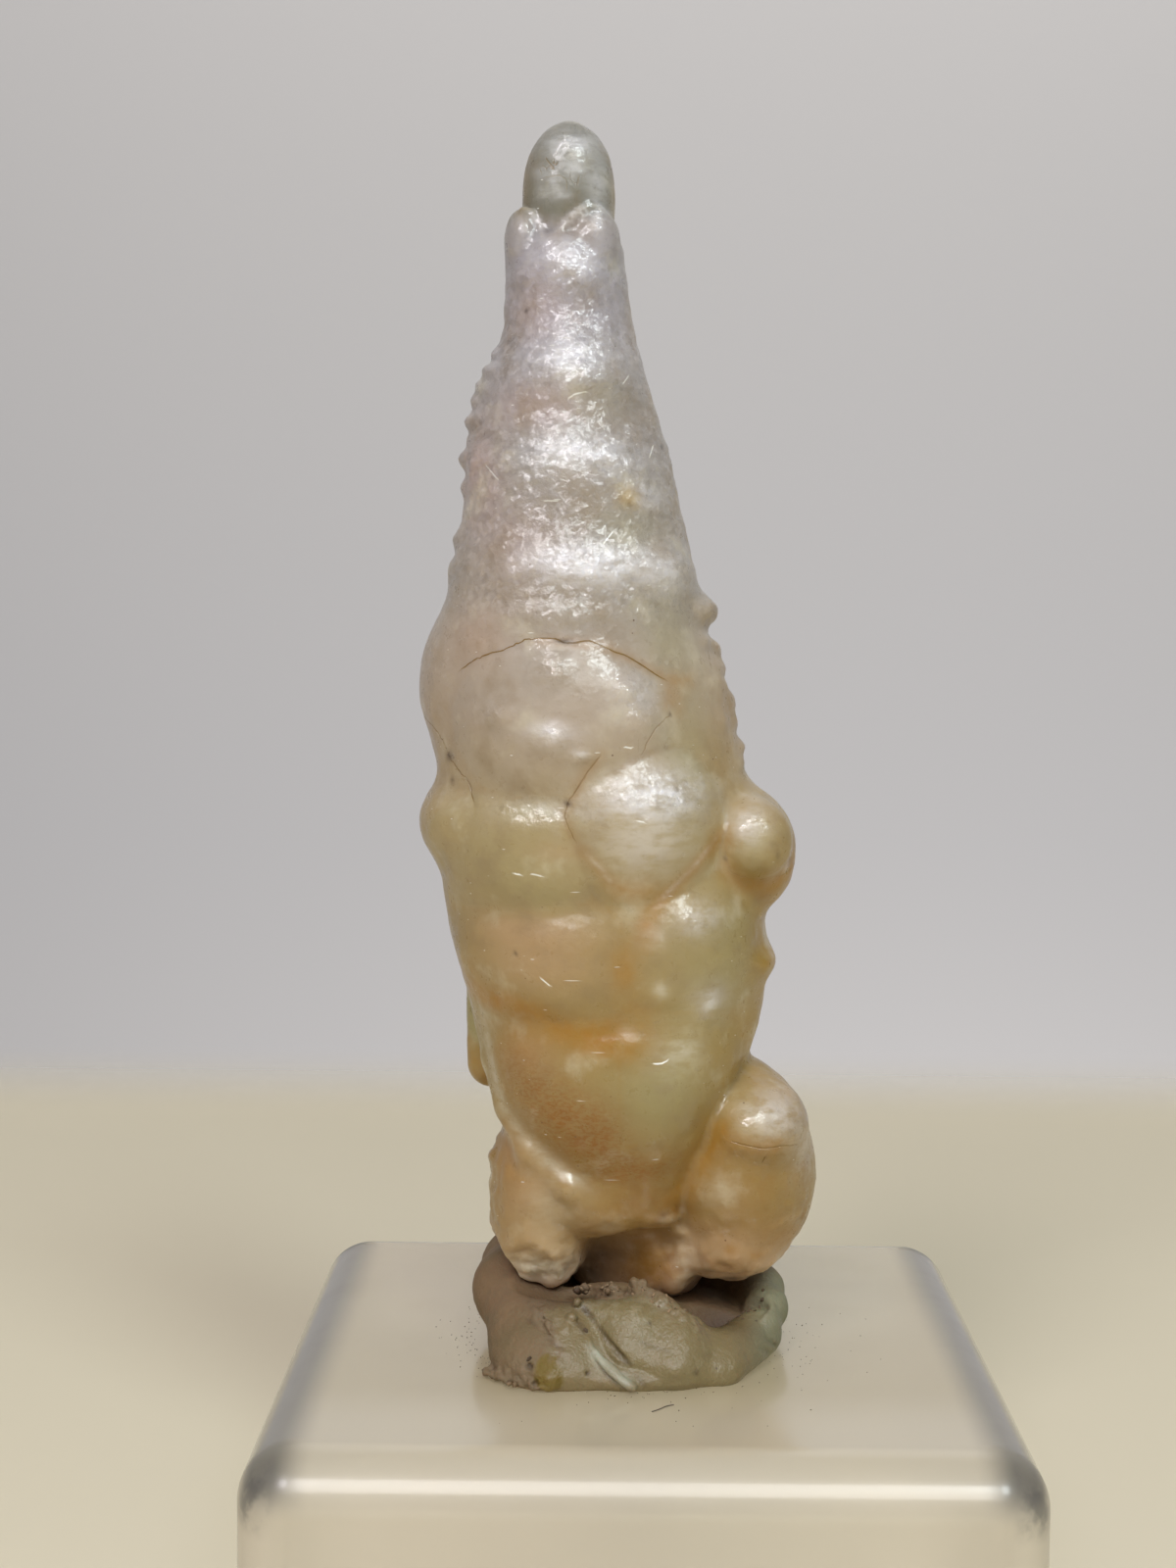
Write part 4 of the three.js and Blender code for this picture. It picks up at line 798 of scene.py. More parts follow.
def makeBlock():
    half, height, edge = blockHalf, blockTop, block["edge"]
    shape = bmesh.new()
    bmesh.ops.create_cube(shape, size=1.0)
    for v in shape.verts:
        v.co = Vector((v.co.x * 2 * half, v.co.y * 2 * half, (v.co.z + 0.5) * height))
    keep = [e for e in shape.edges if max(v.co.z for v in e.verts) > height / 2]
    bmesh.ops.bevel(shape, geom=keep, offset=edge, segments=block["edgeSteps"], profile=0.5, affect="EDGES")
    rim = [e for e in shape.edges if all(v.co.z < 1e-6 for v in e.verts)]
    bmesh.ops.bevel(shape, geom=rim, offset=block["foot"], segments=2, profile=0.5, affect="EDGES")
    bmesh.ops.recalc_face_normals(shape, faces=shape.faces)
    mesh = bpy.data.meshes.new("block_clear")
    shape.to_mesh(mesh)
    shape.free()
    mesh.polygons.foreach_set("use_smooth", [True] * len(mesh.polygons))
    inner = Vector((half - edge, half - edge, height - edge))
    normals = []
    for v in mesh.vertices:
        core = Vector((max(-inner.x, min(inner.x, v.co.x)), max(-inner.y, min(inner.y, v.co.y)),
                       min(inner.z, v.co.z)))
        away = v.co - core
        if v.co.z < block["foot"] * 1.5:
            away = Vector((away.x, away.y, 0))
            if v.co.z < 1e-6:
                away = Vector((0, 0, -1))
        normals.append(away.normalized() if away.length > 1e-7 else Vector((0, 0, -1)))
    mesh.normals_split_custom_set_from_vertices(normals)
    piece = bpy.data.objects.new("block_clear", mesh)
    bpy.context.scene.collection.objects.link(piece)
    return piece


# node helpers
def plug(tree, socket, value):
    if isinstance(value, bpy.types.NodeSocket):
        tree.links.new(value, socket)
    else:
        socket.default_value = value


def addNode(tree, kind, inputs=None, **settings):
    node = tree.nodes.new(kind)
    for name, value in settings.items():
        setattr(node, name, value)
    for key, value in (inputs or {}).items():
        plug(tree, node.inputs[key], value)
    return node


def calc(tree, operation, a, b=0.0, clamp=False):
    return addNode(tree, "ShaderNodeMath", {0: a, 1: b}, operation=operation, use_clamp=clamp).outputs[0]


def times(tree, a, b, clamp=False):
    return calc(tree, "MULTIPLY", a, b, clamp)


def plus(tree, a, b):
    return calc(tree, "ADD", a, b)


def minus(tree, a, b, clamp=False):
    return calc(tree, "SUBTRACT", a, b, clamp)


def ramp(tree, value, low, high, start=0.0, end=1.0):
    return addNode(tree, "ShaderNodeMapRange", {0: value, 1: low, 2: high, 3: start, 4: end},
                   interpolation_type="SMOOTHSTEP").outputs[0]


def paint(*colour):
    linear = [((c / 255 + 0.055) / 1.055) ** 2.4 if c > 10 else c / 255 / 12.92 for c in colour]
    return (*linear, 1.0)


def tint(tree, base, colour, amount):
    node = addNode(tree, "ShaderNodeMix", data_type="RGBA")
    plug(tree, node.inputs[0], amount)
    for socket, value in ((node.inputs[6], base), (node.inputs[7], colour)):
        plug(tree, socket, value if isinstance(value, bpy.types.NodeSocket) else paint(*value))
    return node.outputs[2]


def masks(tree, name):
    node = addNode(tree, "ShaderNodeAttribute", attribute_name=name)
    split = addNode(tree, "ShaderNodeSeparateColor", {0: node.outputs["Color"]})
    return split.outputs[0], split.outputs[1], split.outputs[2], node.outputs["Alpha"]


def stretched(tree, where, scale):
    return addNode(tree, "ShaderNodeMapping", {"Vector": where, "Scale": scale}).outputs[0]


def noiseMask(tree, where, scale, detail=2.0, roughness=0.5):
    return addNode(tree, "ShaderNodeTexNoise", {"Vector": where, "Scale": scale, "Detail": detail,
                                                 "Roughness": roughness}).outputs["Fac"]


def newGroup(name, inputs, outputs):
    tree = bpy.data.node_groups.new(name, "ShaderNodeTree")
    for label, kind, value in inputs:
        socket = tree.interface.new_socket(name=label, in_out="INPUT", socket_type=kind)
        if value is not None:
            socket.default_value = value
    for label, kind in outputs:
        tree.interface.new_socket(name=label, in_out="OUTPUT", socket_type=kind)
    return tree, tree.nodes.new("NodeGroupInput").outputs, tree.nodes.new("NodeGroupOutput").inputs


def useGroup(tree, group, inputs):
    node = addNode(tree, "ShaderNodeGroup", node_tree=group)
    for key, value in inputs.items():
        plug(tree, node.inputs[key], value)
    return node.outputs


def specksGroup():
    tree, given, out = newGroup("smallSpecks",
                                [("Vector", "NodeSocketVector", None), ("Scale", "NodeSocketFloat", 500.0),
                                 ("Size", "NodeSocketFloat", 0.06), ("Amount", "NodeSocketFloat", 0.3)],
                                [("Mask", "NodeSocketFloat")])
    cells = addNode(tree, "ShaderNodeTexVoronoi", {"Vector": given["Vector"], "Scale": given["Scale"]})
    chance = addNode(tree, "ShaderNodeSeparateColor", {0: cells.outputs["Color"]})
    chosen = calc(tree, "LESS_THAN", chance.outputs[0], given["Amount"])
    size = times(tree, given["Size"], plus(tree, chance.outputs[1], 0.4))
    inside = calc(tree, "DIVIDE", minus(tree, size, cells.outputs["Distance"]), times(tree, size, 0.4), True)
    plug(tree, out["Mask"], times(tree, chosen, inside))
    return tree


def scratchesGroup():
    tree, given, out = newGroup("fineScratches",
                                [("Vector", "NodeSocketVector", None), ("Scale", "NodeSocketFloat", 500.0),
                                 ("Amount", "NodeSocketFloat", 0.4)], [("Mask", "NodeSocketFloat")])
    total = None
    for angle, stretch in ((0.5, 0.055), (-0.9, 0.07), (1.9, 0.05)):
        turned = addNode(tree, "ShaderNodeMapping",
                         {"Vector": given["Vector"], "Rotation": (0.3 * angle, angle, 0.2),
                          "Scale": (stretch, 0.6, 1.0)})
        cells = addNode(tree, "ShaderNodeTexVoronoi", {"Vector": turned.outputs[0], "Scale": given["Scale"]})
        chance = addNode(tree, "ShaderNodeSeparateColor", {0: cells.outputs["Color"]})
        chosen = calc(tree, "LESS_THAN", chance.outputs[0], given["Amount"])
        inside = ramp(tree, cells.outputs["Distance"], 0.10, 0.03)
        mask = times(tree, chosen, inside)
        total = mask if total is None else calc(tree, "MAXIMUM", total, mask)
    plug(tree, out["Mask"], total)
    return tree


def newMaterial(name):
    material = bpy.data.materials.new(name)
    material.use_nodes = True
    tree = material.node_tree
    tree.nodes.clear()
    where = tree.nodes.new("ShaderNodeTexCoord").outputs["Object"]
    return material, tree, where


def finishMaterial(tree, shader, normal=None):
    out = tree.nodes.new("ShaderNodeOutputMaterial")
    if normal is not None:
        plug(tree, shader.inputs["Normal"], normal)
    tree.links.new(shader.outputs[0], out.inputs[0])


def facetsGroup():
    tree, given, out = newGroup("turnedFacets",
                                [("Vector", "NodeSocketVector", None), ("Normal", "NodeSocketVector", None),
                                 ("Scale", "NodeSocketFloat", 2000.0), ("Tilt", "NodeSocketFloat", 0.2)],
                                [("Normal", "NodeSocketVector")])
    bent = addNode(tree, "ShaderNodeTexNoise",
                   {"Vector": given["Vector"], "Scale": given["Scale"], "Detail": 1.0})
    shift = addNode(tree, "ShaderNodeVectorMath", {0: bent.outputs["Color"]}, operation="SCALE")
    shift.inputs["Scale"].default_value = 0.0002
    moved = addNode(tree, "ShaderNodeVectorMath", {0: given["Vector"], 1: shift.outputs[0]}, operation="ADD")
    laid = stretched(tree, moved.outputs[0], (0.7, 0.7, 1.2))
    cells = addNode(tree, "ShaderNodeTexVoronoi", {"Vector": laid, "Scale": given["Scale"]})
    centred = addNode(tree, "ShaderNodeVectorMath", {0: cells.outputs["Color"], 1: (0.5, 0.5, 0.5)},
                      operation="SUBTRACT")
    tilted = addNode(tree, "ShaderNodeVectorMath", {0: centred.outputs[0]}, operation="SCALE")
    plug(tree, tilted.inputs["Scale"], given["Tilt"])
    added = addNode(tree, "ShaderNodeVectorMath", {0: given["Normal"], 1: tilted.outputs[0]}, operation="ADD")
    whole = addNode(tree, "ShaderNodeVectorMath", {0: added.outputs[0]}, operation="NORMALIZE")
    plug(tree, out["Normal"], whole.outputs[0])
    return tree


smallSpecks = specksGroup()
fineScratches = scratchesGroup()
turnedFacets = facetsGroup()


# finishes
opalFinish = {
    # height above the block in mm, colour; the lowest band is partly the foot's own pinkish white and partly
    # painted light from the block below
    "bands": [(4.0, (220, 188, 158)), (9.0, (147, 120, 66)), (14.0, (153, 128, 76)), (19.0, (157, 134, 80)),
              (25.0, (161, 139, 92)), (31.0, (170, 152, 112)), (37.0, (178, 163, 145)),
              (44.0, (170, 161, 150)), (52.0, (164, 157, 151)), (62.0, (169, 164, 168)),
              (65.4, (160, 155, 153)), (66.4, (128, 125, 112)), (71.0, (130, 127, 117))],
    # pearl and cream tint the pearly patches and the painted highlights
    "orange": (164, 115, 10), "brown": (142, 92, 18), "lilac": (196, 166, 160), "pearlAndHighlight": (240, 240, 244),
    "cream": (226, 223, 204), "amber": (156, 120, 14), "pink": (190, 154, 122), "green": (158, 152, 108),
    "dirtAndShade": (58, 34, 20),
    "crack": (130, 98, 22), "scratch": (246, 246, 240), "shade": (140, 118, 84), "cloud": (222, 216, 192),
    "dust": (120, 106, 92), "specks": (92, 58, 34),
    "radius": (1.0, 0.93, 0.78), "depth": 0.0012, "bump": 0.00012, "coatRoughness": 0.07, "coatIor": 1.8,
    # heights above the block, in metres, over which one tint gives way to the next
    "lilacFrom": (0.038, 0.050), "pearlAndHighlightFrom": (0.021, 0.029),
    # noise, in cells per metre
    "scales": {"drift": 190, "cloud": 330, "patches": 420, "streaks": 700, "folds": 1300, "mottle": 1500,
               "pits": 1900, "fine": 2800, "dots": 5200},
    # small facets: cells per metre, tilt in the wrinkles, tilt elsewhere
    "facets": [(1300.0, 0.30, 0.03), (3600.0, 0.50, 0.05)],
}


def opalMaterial():
    material, tree, where = newMaterial("pearly_opal")
    look = opalFinish
    scales = look["scales"]
    split = addNode(tree, "ShaderNodeSeparateXYZ", {0: where})
    drift = times(tree, minus(tree, noiseMask(tree, where, scales["drift"], 3), 0.5), 0.006)
    height = plus(tree, split.outputs[2], drift)
    bands = addNode(tree, "ShaderNodeValToRGB")
    top, bottom = look["bands"][-1][0] * 0.001 + blockTop, look["bands"][0][0] * 0.001 + blockTop
    level = addNode(tree, "ShaderNodeMapRange", {0: height, 1: bottom, 2: top})
    plug(tree, bands.inputs[0], level.outputs[0])
    stops = bands.color_ramp.elements
    while len(stops) < len(look["bands"]):
        stops.new(0.5)
    for stop, (at, colour) in zip(stops, look["bands"]):
        stop.position = (at * 0.001 + blockTop - bottom) / (top - bottom)
        stop.color = paint(*colour)
    stain, brown, pearlAndHighlight, amber = masks(tree, "stains")
    pink, green, wrinkled, dirtAndShade = masks(tree, "tones")
    signed, plain, strength, _ = masks(tree, "cracks")
    cloud = noiseMask(tree, where, scales["cloud"], 4, 0.55)
    mottle = noiseMask(tree, where, scales["mottle"], 4, 0.65)
    streaks = noiseMask(tree, stretched(tree, where, (1.0, 1.0, 2.6)), scales["streaks"], 3, 0.6)

    colour = bands.outputs[0]
    lilacFrom = [blockTop + at for at in look["lilacFrom"]]
    pearlAndHighlightFrom = [blockTop + at for at in look["pearlAndHighlightFrom"]]
    blush = tint(tree, look["pink"], look["lilac"], ramp(tree, height, *lilacFrom))
    colour = tint(tree, colour, blush, times(tree, pink, 0.75))
    colour = tint(tree, colour, look["green"], times(tree, green, 0.8))
    colour = tint(tree, colour, look["amber"], times(tree, amber, 0.88))
    colour = tint(tree, colour, look["shade"], ramp(tree, cloud, 0.5, 0.72, 0.0, 0.38))
    colour = tint(tree, colour, look["cloud"], ramp(tree, cloud, 0.46, 0.26, 0.0, 0.34))
    # the pearly patches and painted highlights are bluer higher up and towards the right
    bluer = plus(tree, height, times(tree, split.outputs[0], 1.5))
    pearlAndHighlightTint = tint(tree, look["cream"], look["pearlAndHighlight"], ramp(tree, bluer, *pearlAndHighlightFrom))
    # pearly patches and painted highlights
    colour = tint(tree, colour, pearlAndHighlightTint, times(tree, pearlAndHighlight, ramp(tree, streaks, 0.3, 0.6, 0.35, 0.8)))
    colour = tint(tree, colour, look["orange"], times(tree, stain, ramp(tree, mottle, 0.3, 0.65, 0.65, 1.0)))
    dots = noiseMask(tree, stretched(tree, where, (0.6, 0.6, 1.3)), scales["dots"], 3, 0.6)
    grainy = plus(tree, ramp(tree, mottle, 0.40, 0.62, 0.12, 0.40), ramp(tree, dots, 0.44, 0.60, 0.25, 0.75))
    colour = tint(tree, colour, look["brown"], times(tree, brown, grainy))
    # faint grey dust held in the wrinkles
    colour = tint(tree, colour, look["dust"],
                  times(tree, wrinkled, ramp(tree, mottle, 0.55, 0.75, 0.0, 0.35)))
    wobble = times(tree, mottle, 0.06)
    thin = ramp(tree, calc(tree, "ABSOLUTE", signed), plus(tree, 0.034, wobble), minus(tree, wobble, 0.01))
    thin = times(tree, thin, calc(tree, "LESS_THAN", plain, 0.6))
    line = times(tree, thin, calc(tree, "MAXIMUM", strength, 0.0))
    nick = times(tree, thin, times(tree, strength, -1.0), True)
    colour = tint(tree, colour, look["crack"], times(tree, line, 0.9))
    colour = tint(tree, colour, look["scratch"], nick)
    # dark marks, and painted shade in the recess under the stone
    colour = tint(tree, colour, look["dirtAndShade"], times(tree, dirtAndShade, 0.85))
    specks = useGroup(tree, smallSpecks, {"Vector": where, "Scale": 1050.0, "Size": 0.055, "Amount": 0.22})[0]
    colour = tint(tree, colour, look["specks"], times(tree, specks, 0.8))
    scratch = useGroup(tree, fineScratches, {"Vector": where, "Scale": 2400.0, "Amount": 0.13})[0]
    colour = tint(tree, colour, look["scratch"], times(tree, scratch, 0.6))

    fine = noiseMask(tree, where, scales["fine"], 4, 0.65)
    pits = addNode(tree, "ShaderNodeTexVoronoi",
                   {"Vector": where, "Scale": scales["pits"], "Smoothness": 0.35}, feature="SMOOTH_F1")
    folds = calc(tree, "ABSOLUTE", minus(tree, noiseMask(tree, where, scales["folds"], 3, 0.6), 0.5))
    heightMix = plus(tree, times(tree, fine, 0.8), times(tree, pits.outputs[0], 0.8))
    heightMix = minus(tree, heightMix, times(tree, folds, 1.6))
    heightMix = times(tree, heightMix, plus(tree, 0.11, times(tree, wrinkled, 0.9)))
    heightMix = minus(tree, heightMix, times(tree, line, 0.5))
    heightMix = plus(tree, heightMix, times(tree, scratch, 0.2))
    bump = addNode(tree, "ShaderNodeBump", {"Strength": 1.0, "Distance": look["bump"], "Height": heightMix})
    # the lustre comes from small facets, each turned its own way, thicker in some patches than in others
    patchy = ramp(tree, noiseMask(tree, where, scales["patches"], 2), 0.36, 0.6, 0.35, 1.15)
    turned = bump.outputs[0]
    for scale, tilt, still in look["facets"]:
        amount = plus(tree, times(tree, times(tree, wrinkled, patchy), tilt), still)
        turned = useGroup(tree, turnedFacets,
                          {"Vector": where, "Normal": turned, "Scale": scale, "Tilt": amount})[0]
    shine = ramp(tree, mottle, 0.3, 0.7, 0.26, 0.44)
    sheen = calc(tree, "MAXIMUM", calc(tree, "MAXIMUM", wrinkled, times(tree, pearlAndHighlight, 0.8)), 0.22, True)
    shader = addNode(tree, "ShaderNodeBsdfPrincipled", {
        "Base Color": colour, "Roughness": shine, "IOR": 1.46, "Subsurface Weight": 1.0,
        "Subsurface Scale": look["depth"], "Subsurface Radius": look["radius"], "Coat Weight": sheen,
        "Coat Roughness": look["coatRoughness"], "Coat IOR": look["coatIor"], "Coat Normal": turned,
        "Specular IOR Level": 0.5})
    finishMaterial(tree, shader, turned)
    return material


tackFinish = {
    "wad": (126, 101, 72), "wadDark": (112, 94, 64), "strand": (126, 112, 74), "torn": (126, 108, 84),
    "bluish": (138, 142, 114), "ridgeHighlight": (158, 148, 120), "grain": (112, 98, 70), "pale": (186, 190, 172),
    "olive": (112, 92, 34), "dirtAndShade": (52, 34, 20), "under": (78, 52, 32), "specks": (62, 46, 30),
    "bump": 0.00013, "depth": 0.0006,
    "scales": {"cloud": 260, "grain": 1600, "fine": 5200},  # noise, in cells per metre
}


def tackMaterial():
    material, tree, where = newMaterial("grey_green_tack")
    dirtAndShade, strand, torn, inclusion = masks(tree, "wear")
    pale, bluish, under, ridgeHighlight = masks(tree, "cast")
    look = tackFinish
    scales = look["scales"]
    cloud = noiseMask(tree, where, scales["cloud"], 3)
    grain = noiseMask(tree, where, scales["grain"], 5, 0.7)
    colour = tint(tree, look["wad"], look["wadDark"], ramp(tree, cloud, 0.35, 0.65))
    colour = tint(tree, colour, look["strand"], times(tree, strand, 0.85))
    colour = tint(tree, colour, look["torn"], times(tree, torn, ramp(tree, grain, 0.4, 0.6, 0.3, 0.9)))
    colour = tint(tree, colour, look["bluish"], times(tree, bluish, 0.7))
    # painted highlight along the top of the strand
    colour = tint(tree, colour, look["ridgeHighlight"], times(tree, ridgeHighlight, ramp(tree, grain, 0.45, 0.6, 0.1, 0.5)))
    colour = tint(tree, colour, look["grain"], ramp(tree, grain, 0.55, 0.75, 0.0, 0.4))
    colour = tint(tree, colour, look["pale"], times(tree, pale, 0.8))
    colour = tint(tree, colour, look["olive"], inclusion)
    # dirt, and painted shade in the pits, creases, cleft, hollow and under the left foot
    colour = tint(tree, colour, look["dirtAndShade"], times(tree, dirtAndShade, 0.92))
    # painted shade under the opal
    colour = tint(tree, colour, look["under"], times(tree, under, 0.75))
    specks = useGroup(tree, smallSpecks, {"Vector": where, "Scale": 1200.0, "Size": 0.08, "Amount": 0.14})[0]
    colour = tint(tree, colour, look["specks"], times(tree, specks, 0.8))
    fine = noiseMask(tree, where, scales["fine"], 3)
    bumpHeight = plus(tree, times(tree, grain, 0.8), times(tree, fine, 0.35))
    bump = addNode(tree, "ShaderNodeBump", {"Strength": 1.0, "Distance": look["bump"], "Height": bumpHeight})
    shine = ramp(tree, strand, 0.0, 1.0, 0.66, 0.40)
    shader = addNode(tree, "ShaderNodeBsdfPrincipled", {
        "Base Color": colour, "Roughness": shine, "IOR": 1.48, "Subsurface Weight": 0.12,
        "Subsurface Scale": look["depth"], "Coat Weight": times(tree, minus(tree, strand, dirtAndShade, True), 0.35),
        "Coat Roughness": 0.25, "Coat Normal": bump.outputs[0]})
    finishMaterial(tree, shader, bump.outputs[0])
    return material


acrylicFinish = {
    # side is a painted reflection of the wall on the rounded sides, corner a painted dark refraction at the
    # upper corners, top painted shade on the top face
    "clear": (230, 220, 198), "top": (212, 199, 168), "side": (106, 105, 102), "corner": (64, 66, 70),
    # where each tint starts and where it is full, in metres past the block's side or below its top
    "sideBand": (-0.0042, -0.0020), "sideRim": (0.0003, -0.0010), "sideDepth": (-0.0032, -0.0012),
    "cornerBand": (-0.0026, -0.0012), "cornerDepth": (-0.0044, -0.0028), "highlightEnd": (-0.0038, -0.0028),
    "topDepth": (-0.002, -0.0006), "topFront": (-0.016, -0.009),  # topFront is a place along y
}


def acrylicMaterial():
    material, tree, where = newMaterial("clear_acrylic")
    look = acrylicFinish
    scratch = useGroup(tree, fineScratches, {"Vector": where, "Scale": 700.0, "Amount": 0.05})[0]
    smear = noiseMask(tree, where, 160, 3)
    shine = plus(tree, ramp(tree, smear, 0.4, 0.7, 0.30, 0.38), times(tree, scratch, 0.2))
    split = addNode(tree, "ShaderNodeSeparateXYZ", {0: where}).outputs
    across = minus(tree, calc(tree, "ABSOLUTE", split[0]), blockHalf)
    along = minus(tree, calc(tree, "ABSOLUTE", split[1]), blockHalf)
    below = minus(tree, split[2], blockTop)
    # painted reflection of the wall on the rounded sides
    sideReflection = times(tree, ramp(tree, across, *look["sideBand"]),
                  ramp(tree, across, *look["sideRim"], 0.35, 1.0))
    sideReflection = times(tree, sideReflection, ramp(tree, below, *look["sideDepth"]))
    # painted dark refraction at the upper corners
    corner = times(tree, ramp(tree, across, *look["cornerBand"]), ramp(tree, along, *look["cornerBand"]))
    corner = times(tree, corner, ramp(tree, below, *look["cornerDepth"]))
    corner = times(tree, corner, ramp(tree, noiseMask(tree, where, 700, 3), 0.35, 0.6, 0.3, 1.0))
    # the long highlights end softly at the corners
    ends = times(tree, ramp(tree, across, *look["highlightEnd"]), ramp(tree, along, *look["highlightEnd"]))
    gloss = minus(tree, 1.0, times(tree, ends, 0.85))
    # painted shade on the top face, from a little in front of the tack to the back
    topShade = times(tree, ramp(tree, split[1], *look["topFront"]), ramp(tree, below, *look["topDepth"]))
    tone = tint(tree, look["clear"], look["top"], topShade)
    tone = tint(tree, tone, look["side"], times(tree, sideReflection, 0.92))
    tone = tint(tree, tone, look["corner"], times(tree, corner, 0.8))
    shader = addNode(tree, "ShaderNodeBsdfPrincipled", {
        "Base Color": tone, "Roughness": shine, "IOR": 1.49, "Transmission Weight": 0.6,
        "Coat Weight": gloss, "Coat Roughness": 0.14, "Coat IOR": 1.55})
    # lamps shine straight through it, so that what it stands on stays light
    clear = addNode(tree, "ShaderNodeBsdfTransparent", {0: (0.93, 0.93, 0.91, 1)})
    rays = tree.nodes.new("ShaderNodeLightPath")
    straight = calc(tree, "MAXIMUM", rays.outputs["Is Shadow Ray"], rays.outputs["Is Diffuse Ray"])
    mixed = addNode(tree, "ShaderNodeMixShader", {0: straight, 1: shader.outputs[0], 2: clear.outputs[0]})
    tree.links.new(mixed.outputs[0], tree.nodes.new("ShaderNodeOutputMaterial").inputs[0])
    return material


def plainMaterial(name, colour, roughness):
    material, tree, where = newMaterial(name)
    cloud = noiseMask(tree, where, 900, 3)
    darker = [c * 0.7 for c in colour]
    base = tint(tree, colour, darker, ramp(tree, cloud, 0.4, 0.65, 0.0, 0.7))
    shader = addNode(tree, "ShaderNodeBsdfPrincipled", {"Base Color": base, "Roughness": roughness})
    finishMaterial(tree, shader)
    return material


def use(piece, material, replaced=None):
    if not piece.data.materials:
        piece.data.materials.append(material)
    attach(piece, "root")
    if replaced:
        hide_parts(replaced)


# grit, crumbs and a fibre
grit = {
    # dust lies in a ring round the tack: centre, radii, how far it thins out, how far it reaches
    "ring": {"centre": (-0.6, -0.4), "radii": (9.2, 9.4), "thin": 1.5, "reach": 15.5, "tries": 1400,
             "mostAt": -60},
    "dust": {"count": 300, "size": 0.036, "seed": 3},
    # crumbs lie along the torn edge: places drawn, spread
    "alongTorn": 160, "tornSpread": (0.3, 0.35, 0.12), "darkSpread": 0.12,
    "crumbs": {"count": 60, "size": 0.13, "seed": 8},
    "dark": {"count": 60, "size": 0.18, "seed": 4},
    "darkPlaces": [(5.7, -3.6, 3.4), (6.1, -3.4, 3.6), (6.4, -3.4, 3.4), (5.9, -4.9, 2.7), (6.7, -3.9, 2.9),
                   (4.8, -5.0, 2.8), (6.0, -3.9, 3.0), (5.5, -4.2, 3.1), (6.5, -3.6, 2.9), (6.9, -3.2, 3.0),
                   (5.9, -3.5, 3.9), (4.2, -5.2, 2.9), (-3.2, -8.5, 2.9), (-6.2, -8.9, 1.3)],
    # stretch of a grain, smallest and largest
    "slim": (0.4, 0.3, 0.3), "stout": (1.5, 1.0, 0.8),
    "fibreRadius": 0.028,
    "fibre": [(0.53, -13.4, 0.04), (0.80, -13.20, 0.05), (1.02, -13.00, 0.06), (1.27, -12.60, 0.05),
              (1.50, -12.46, 0.05), (1.75, -12.42, 0.08)],
}


def scatterTree(name):
    tree = bpy.data.node_groups.new(name, "GeometryNodeTree")
    face = tree.interface
    face.new_socket(name="Geometry", in_out="INPUT", socket_type="NodeSocketGeometry")
    count = face.new_socket(name="Count", in_out="INPUT", socket_type="NodeSocketInt")
    size = face.new_socket(name="Size", in_out="INPUT", socket_type="NodeSocketFloat")
    seed = face.new_socket(name="Seed", in_out="INPUT", socket_type="NodeSocketInt")
    finish = face.new_socket(name="Finish", in_out="INPUT", socket_type="NodeSocketMaterial")
    face.new_socket(name="Geometry", in_out="OUTPUT", socket_type="NodeSocketGeometry")
    given, out = tree.nodes.new("NodeGroupInput").outputs, tree.nodes.new("NodeGroupOutput").inputs
    index = addNode(tree, "GeometryNodeInputIndex").outputs[0]
    total = addNode(tree, "GeometryNodeAttributeDomainSize", {"Geometry": given["Geometry"]},
                    component="MESH").outputs["Point Count"]
    pick = addNode(tree, "FunctionNodeRandomValue", {"ID": index, "Seed": given["Seed"]},
                   data_type="FLOAT").outputs[1]
    # keep about Count of the points that are handed in
    share = calc(tree, "DIVIDE", given["Count"], total)
    keep = addNode(tree, "FunctionNodeCompare", data_type="FLOAT", operation="LESS_THAN")
    plug(tree, keep.inputs[0], pick)
    plug(tree, keep.inputs[1], share)
    grain = addNode(tree, "GeometryNodeMeshIcoSphere", {"Radius": 1.0, "Subdivisions": 1})
    turn = addNode(tree, "FunctionNodeRandomValue", data_type="FLOAT_VECTOR")
    plug(tree, turn.inputs[0], (0, 0, 0))
    plug(tree, turn.inputs[1], (6.28,) * 3)  # a full turn
    plug(tree, turn.inputs["Seed"], given["Seed"])
    grow = addNode(tree, "FunctionNodeRandomValue", data_type="FLOAT_VECTOR")
    plug(tree, grow.inputs[0], grit["slim"])
    plug(tree, grow.inputs[1], grit["stout"])
    plug(tree, grow.inputs["Seed"], plus(tree, given["Seed"], 5))
    scaled = addNode(tree, "ShaderNodeVectorMath", operation="SCALE")
    plug(tree, scaled.inputs[0], grow.outputs[0])
    plug(tree, scaled.inputs["Scale"], given["Size"])
    place = addNode(tree, "GeometryNodeInstanceOnPoints",
                    {"Points": given["Geometry"], "Selection": keep.outputs[0],
                     "Instance": grain.outputs["Mesh"], "Rotation": turn.outputs[0],
                     "Scale": scaled.outputs[0]})
    real = addNode(tree, "GeometryNodeRealizeInstances", {"Geometry": place.outputs[0]})
    coated = addNode(tree, "GeometryNodeSetMaterial",
                     {"Geometry": real.outputs[0], "Material": given["Finish"]})
    plug(tree, out["Geometry"], coated.outputs[0])
    return tree, {"count": count.identifier, "size": size.identifier, "seed": seed.identifier,
                  "finish": finish.identifier}


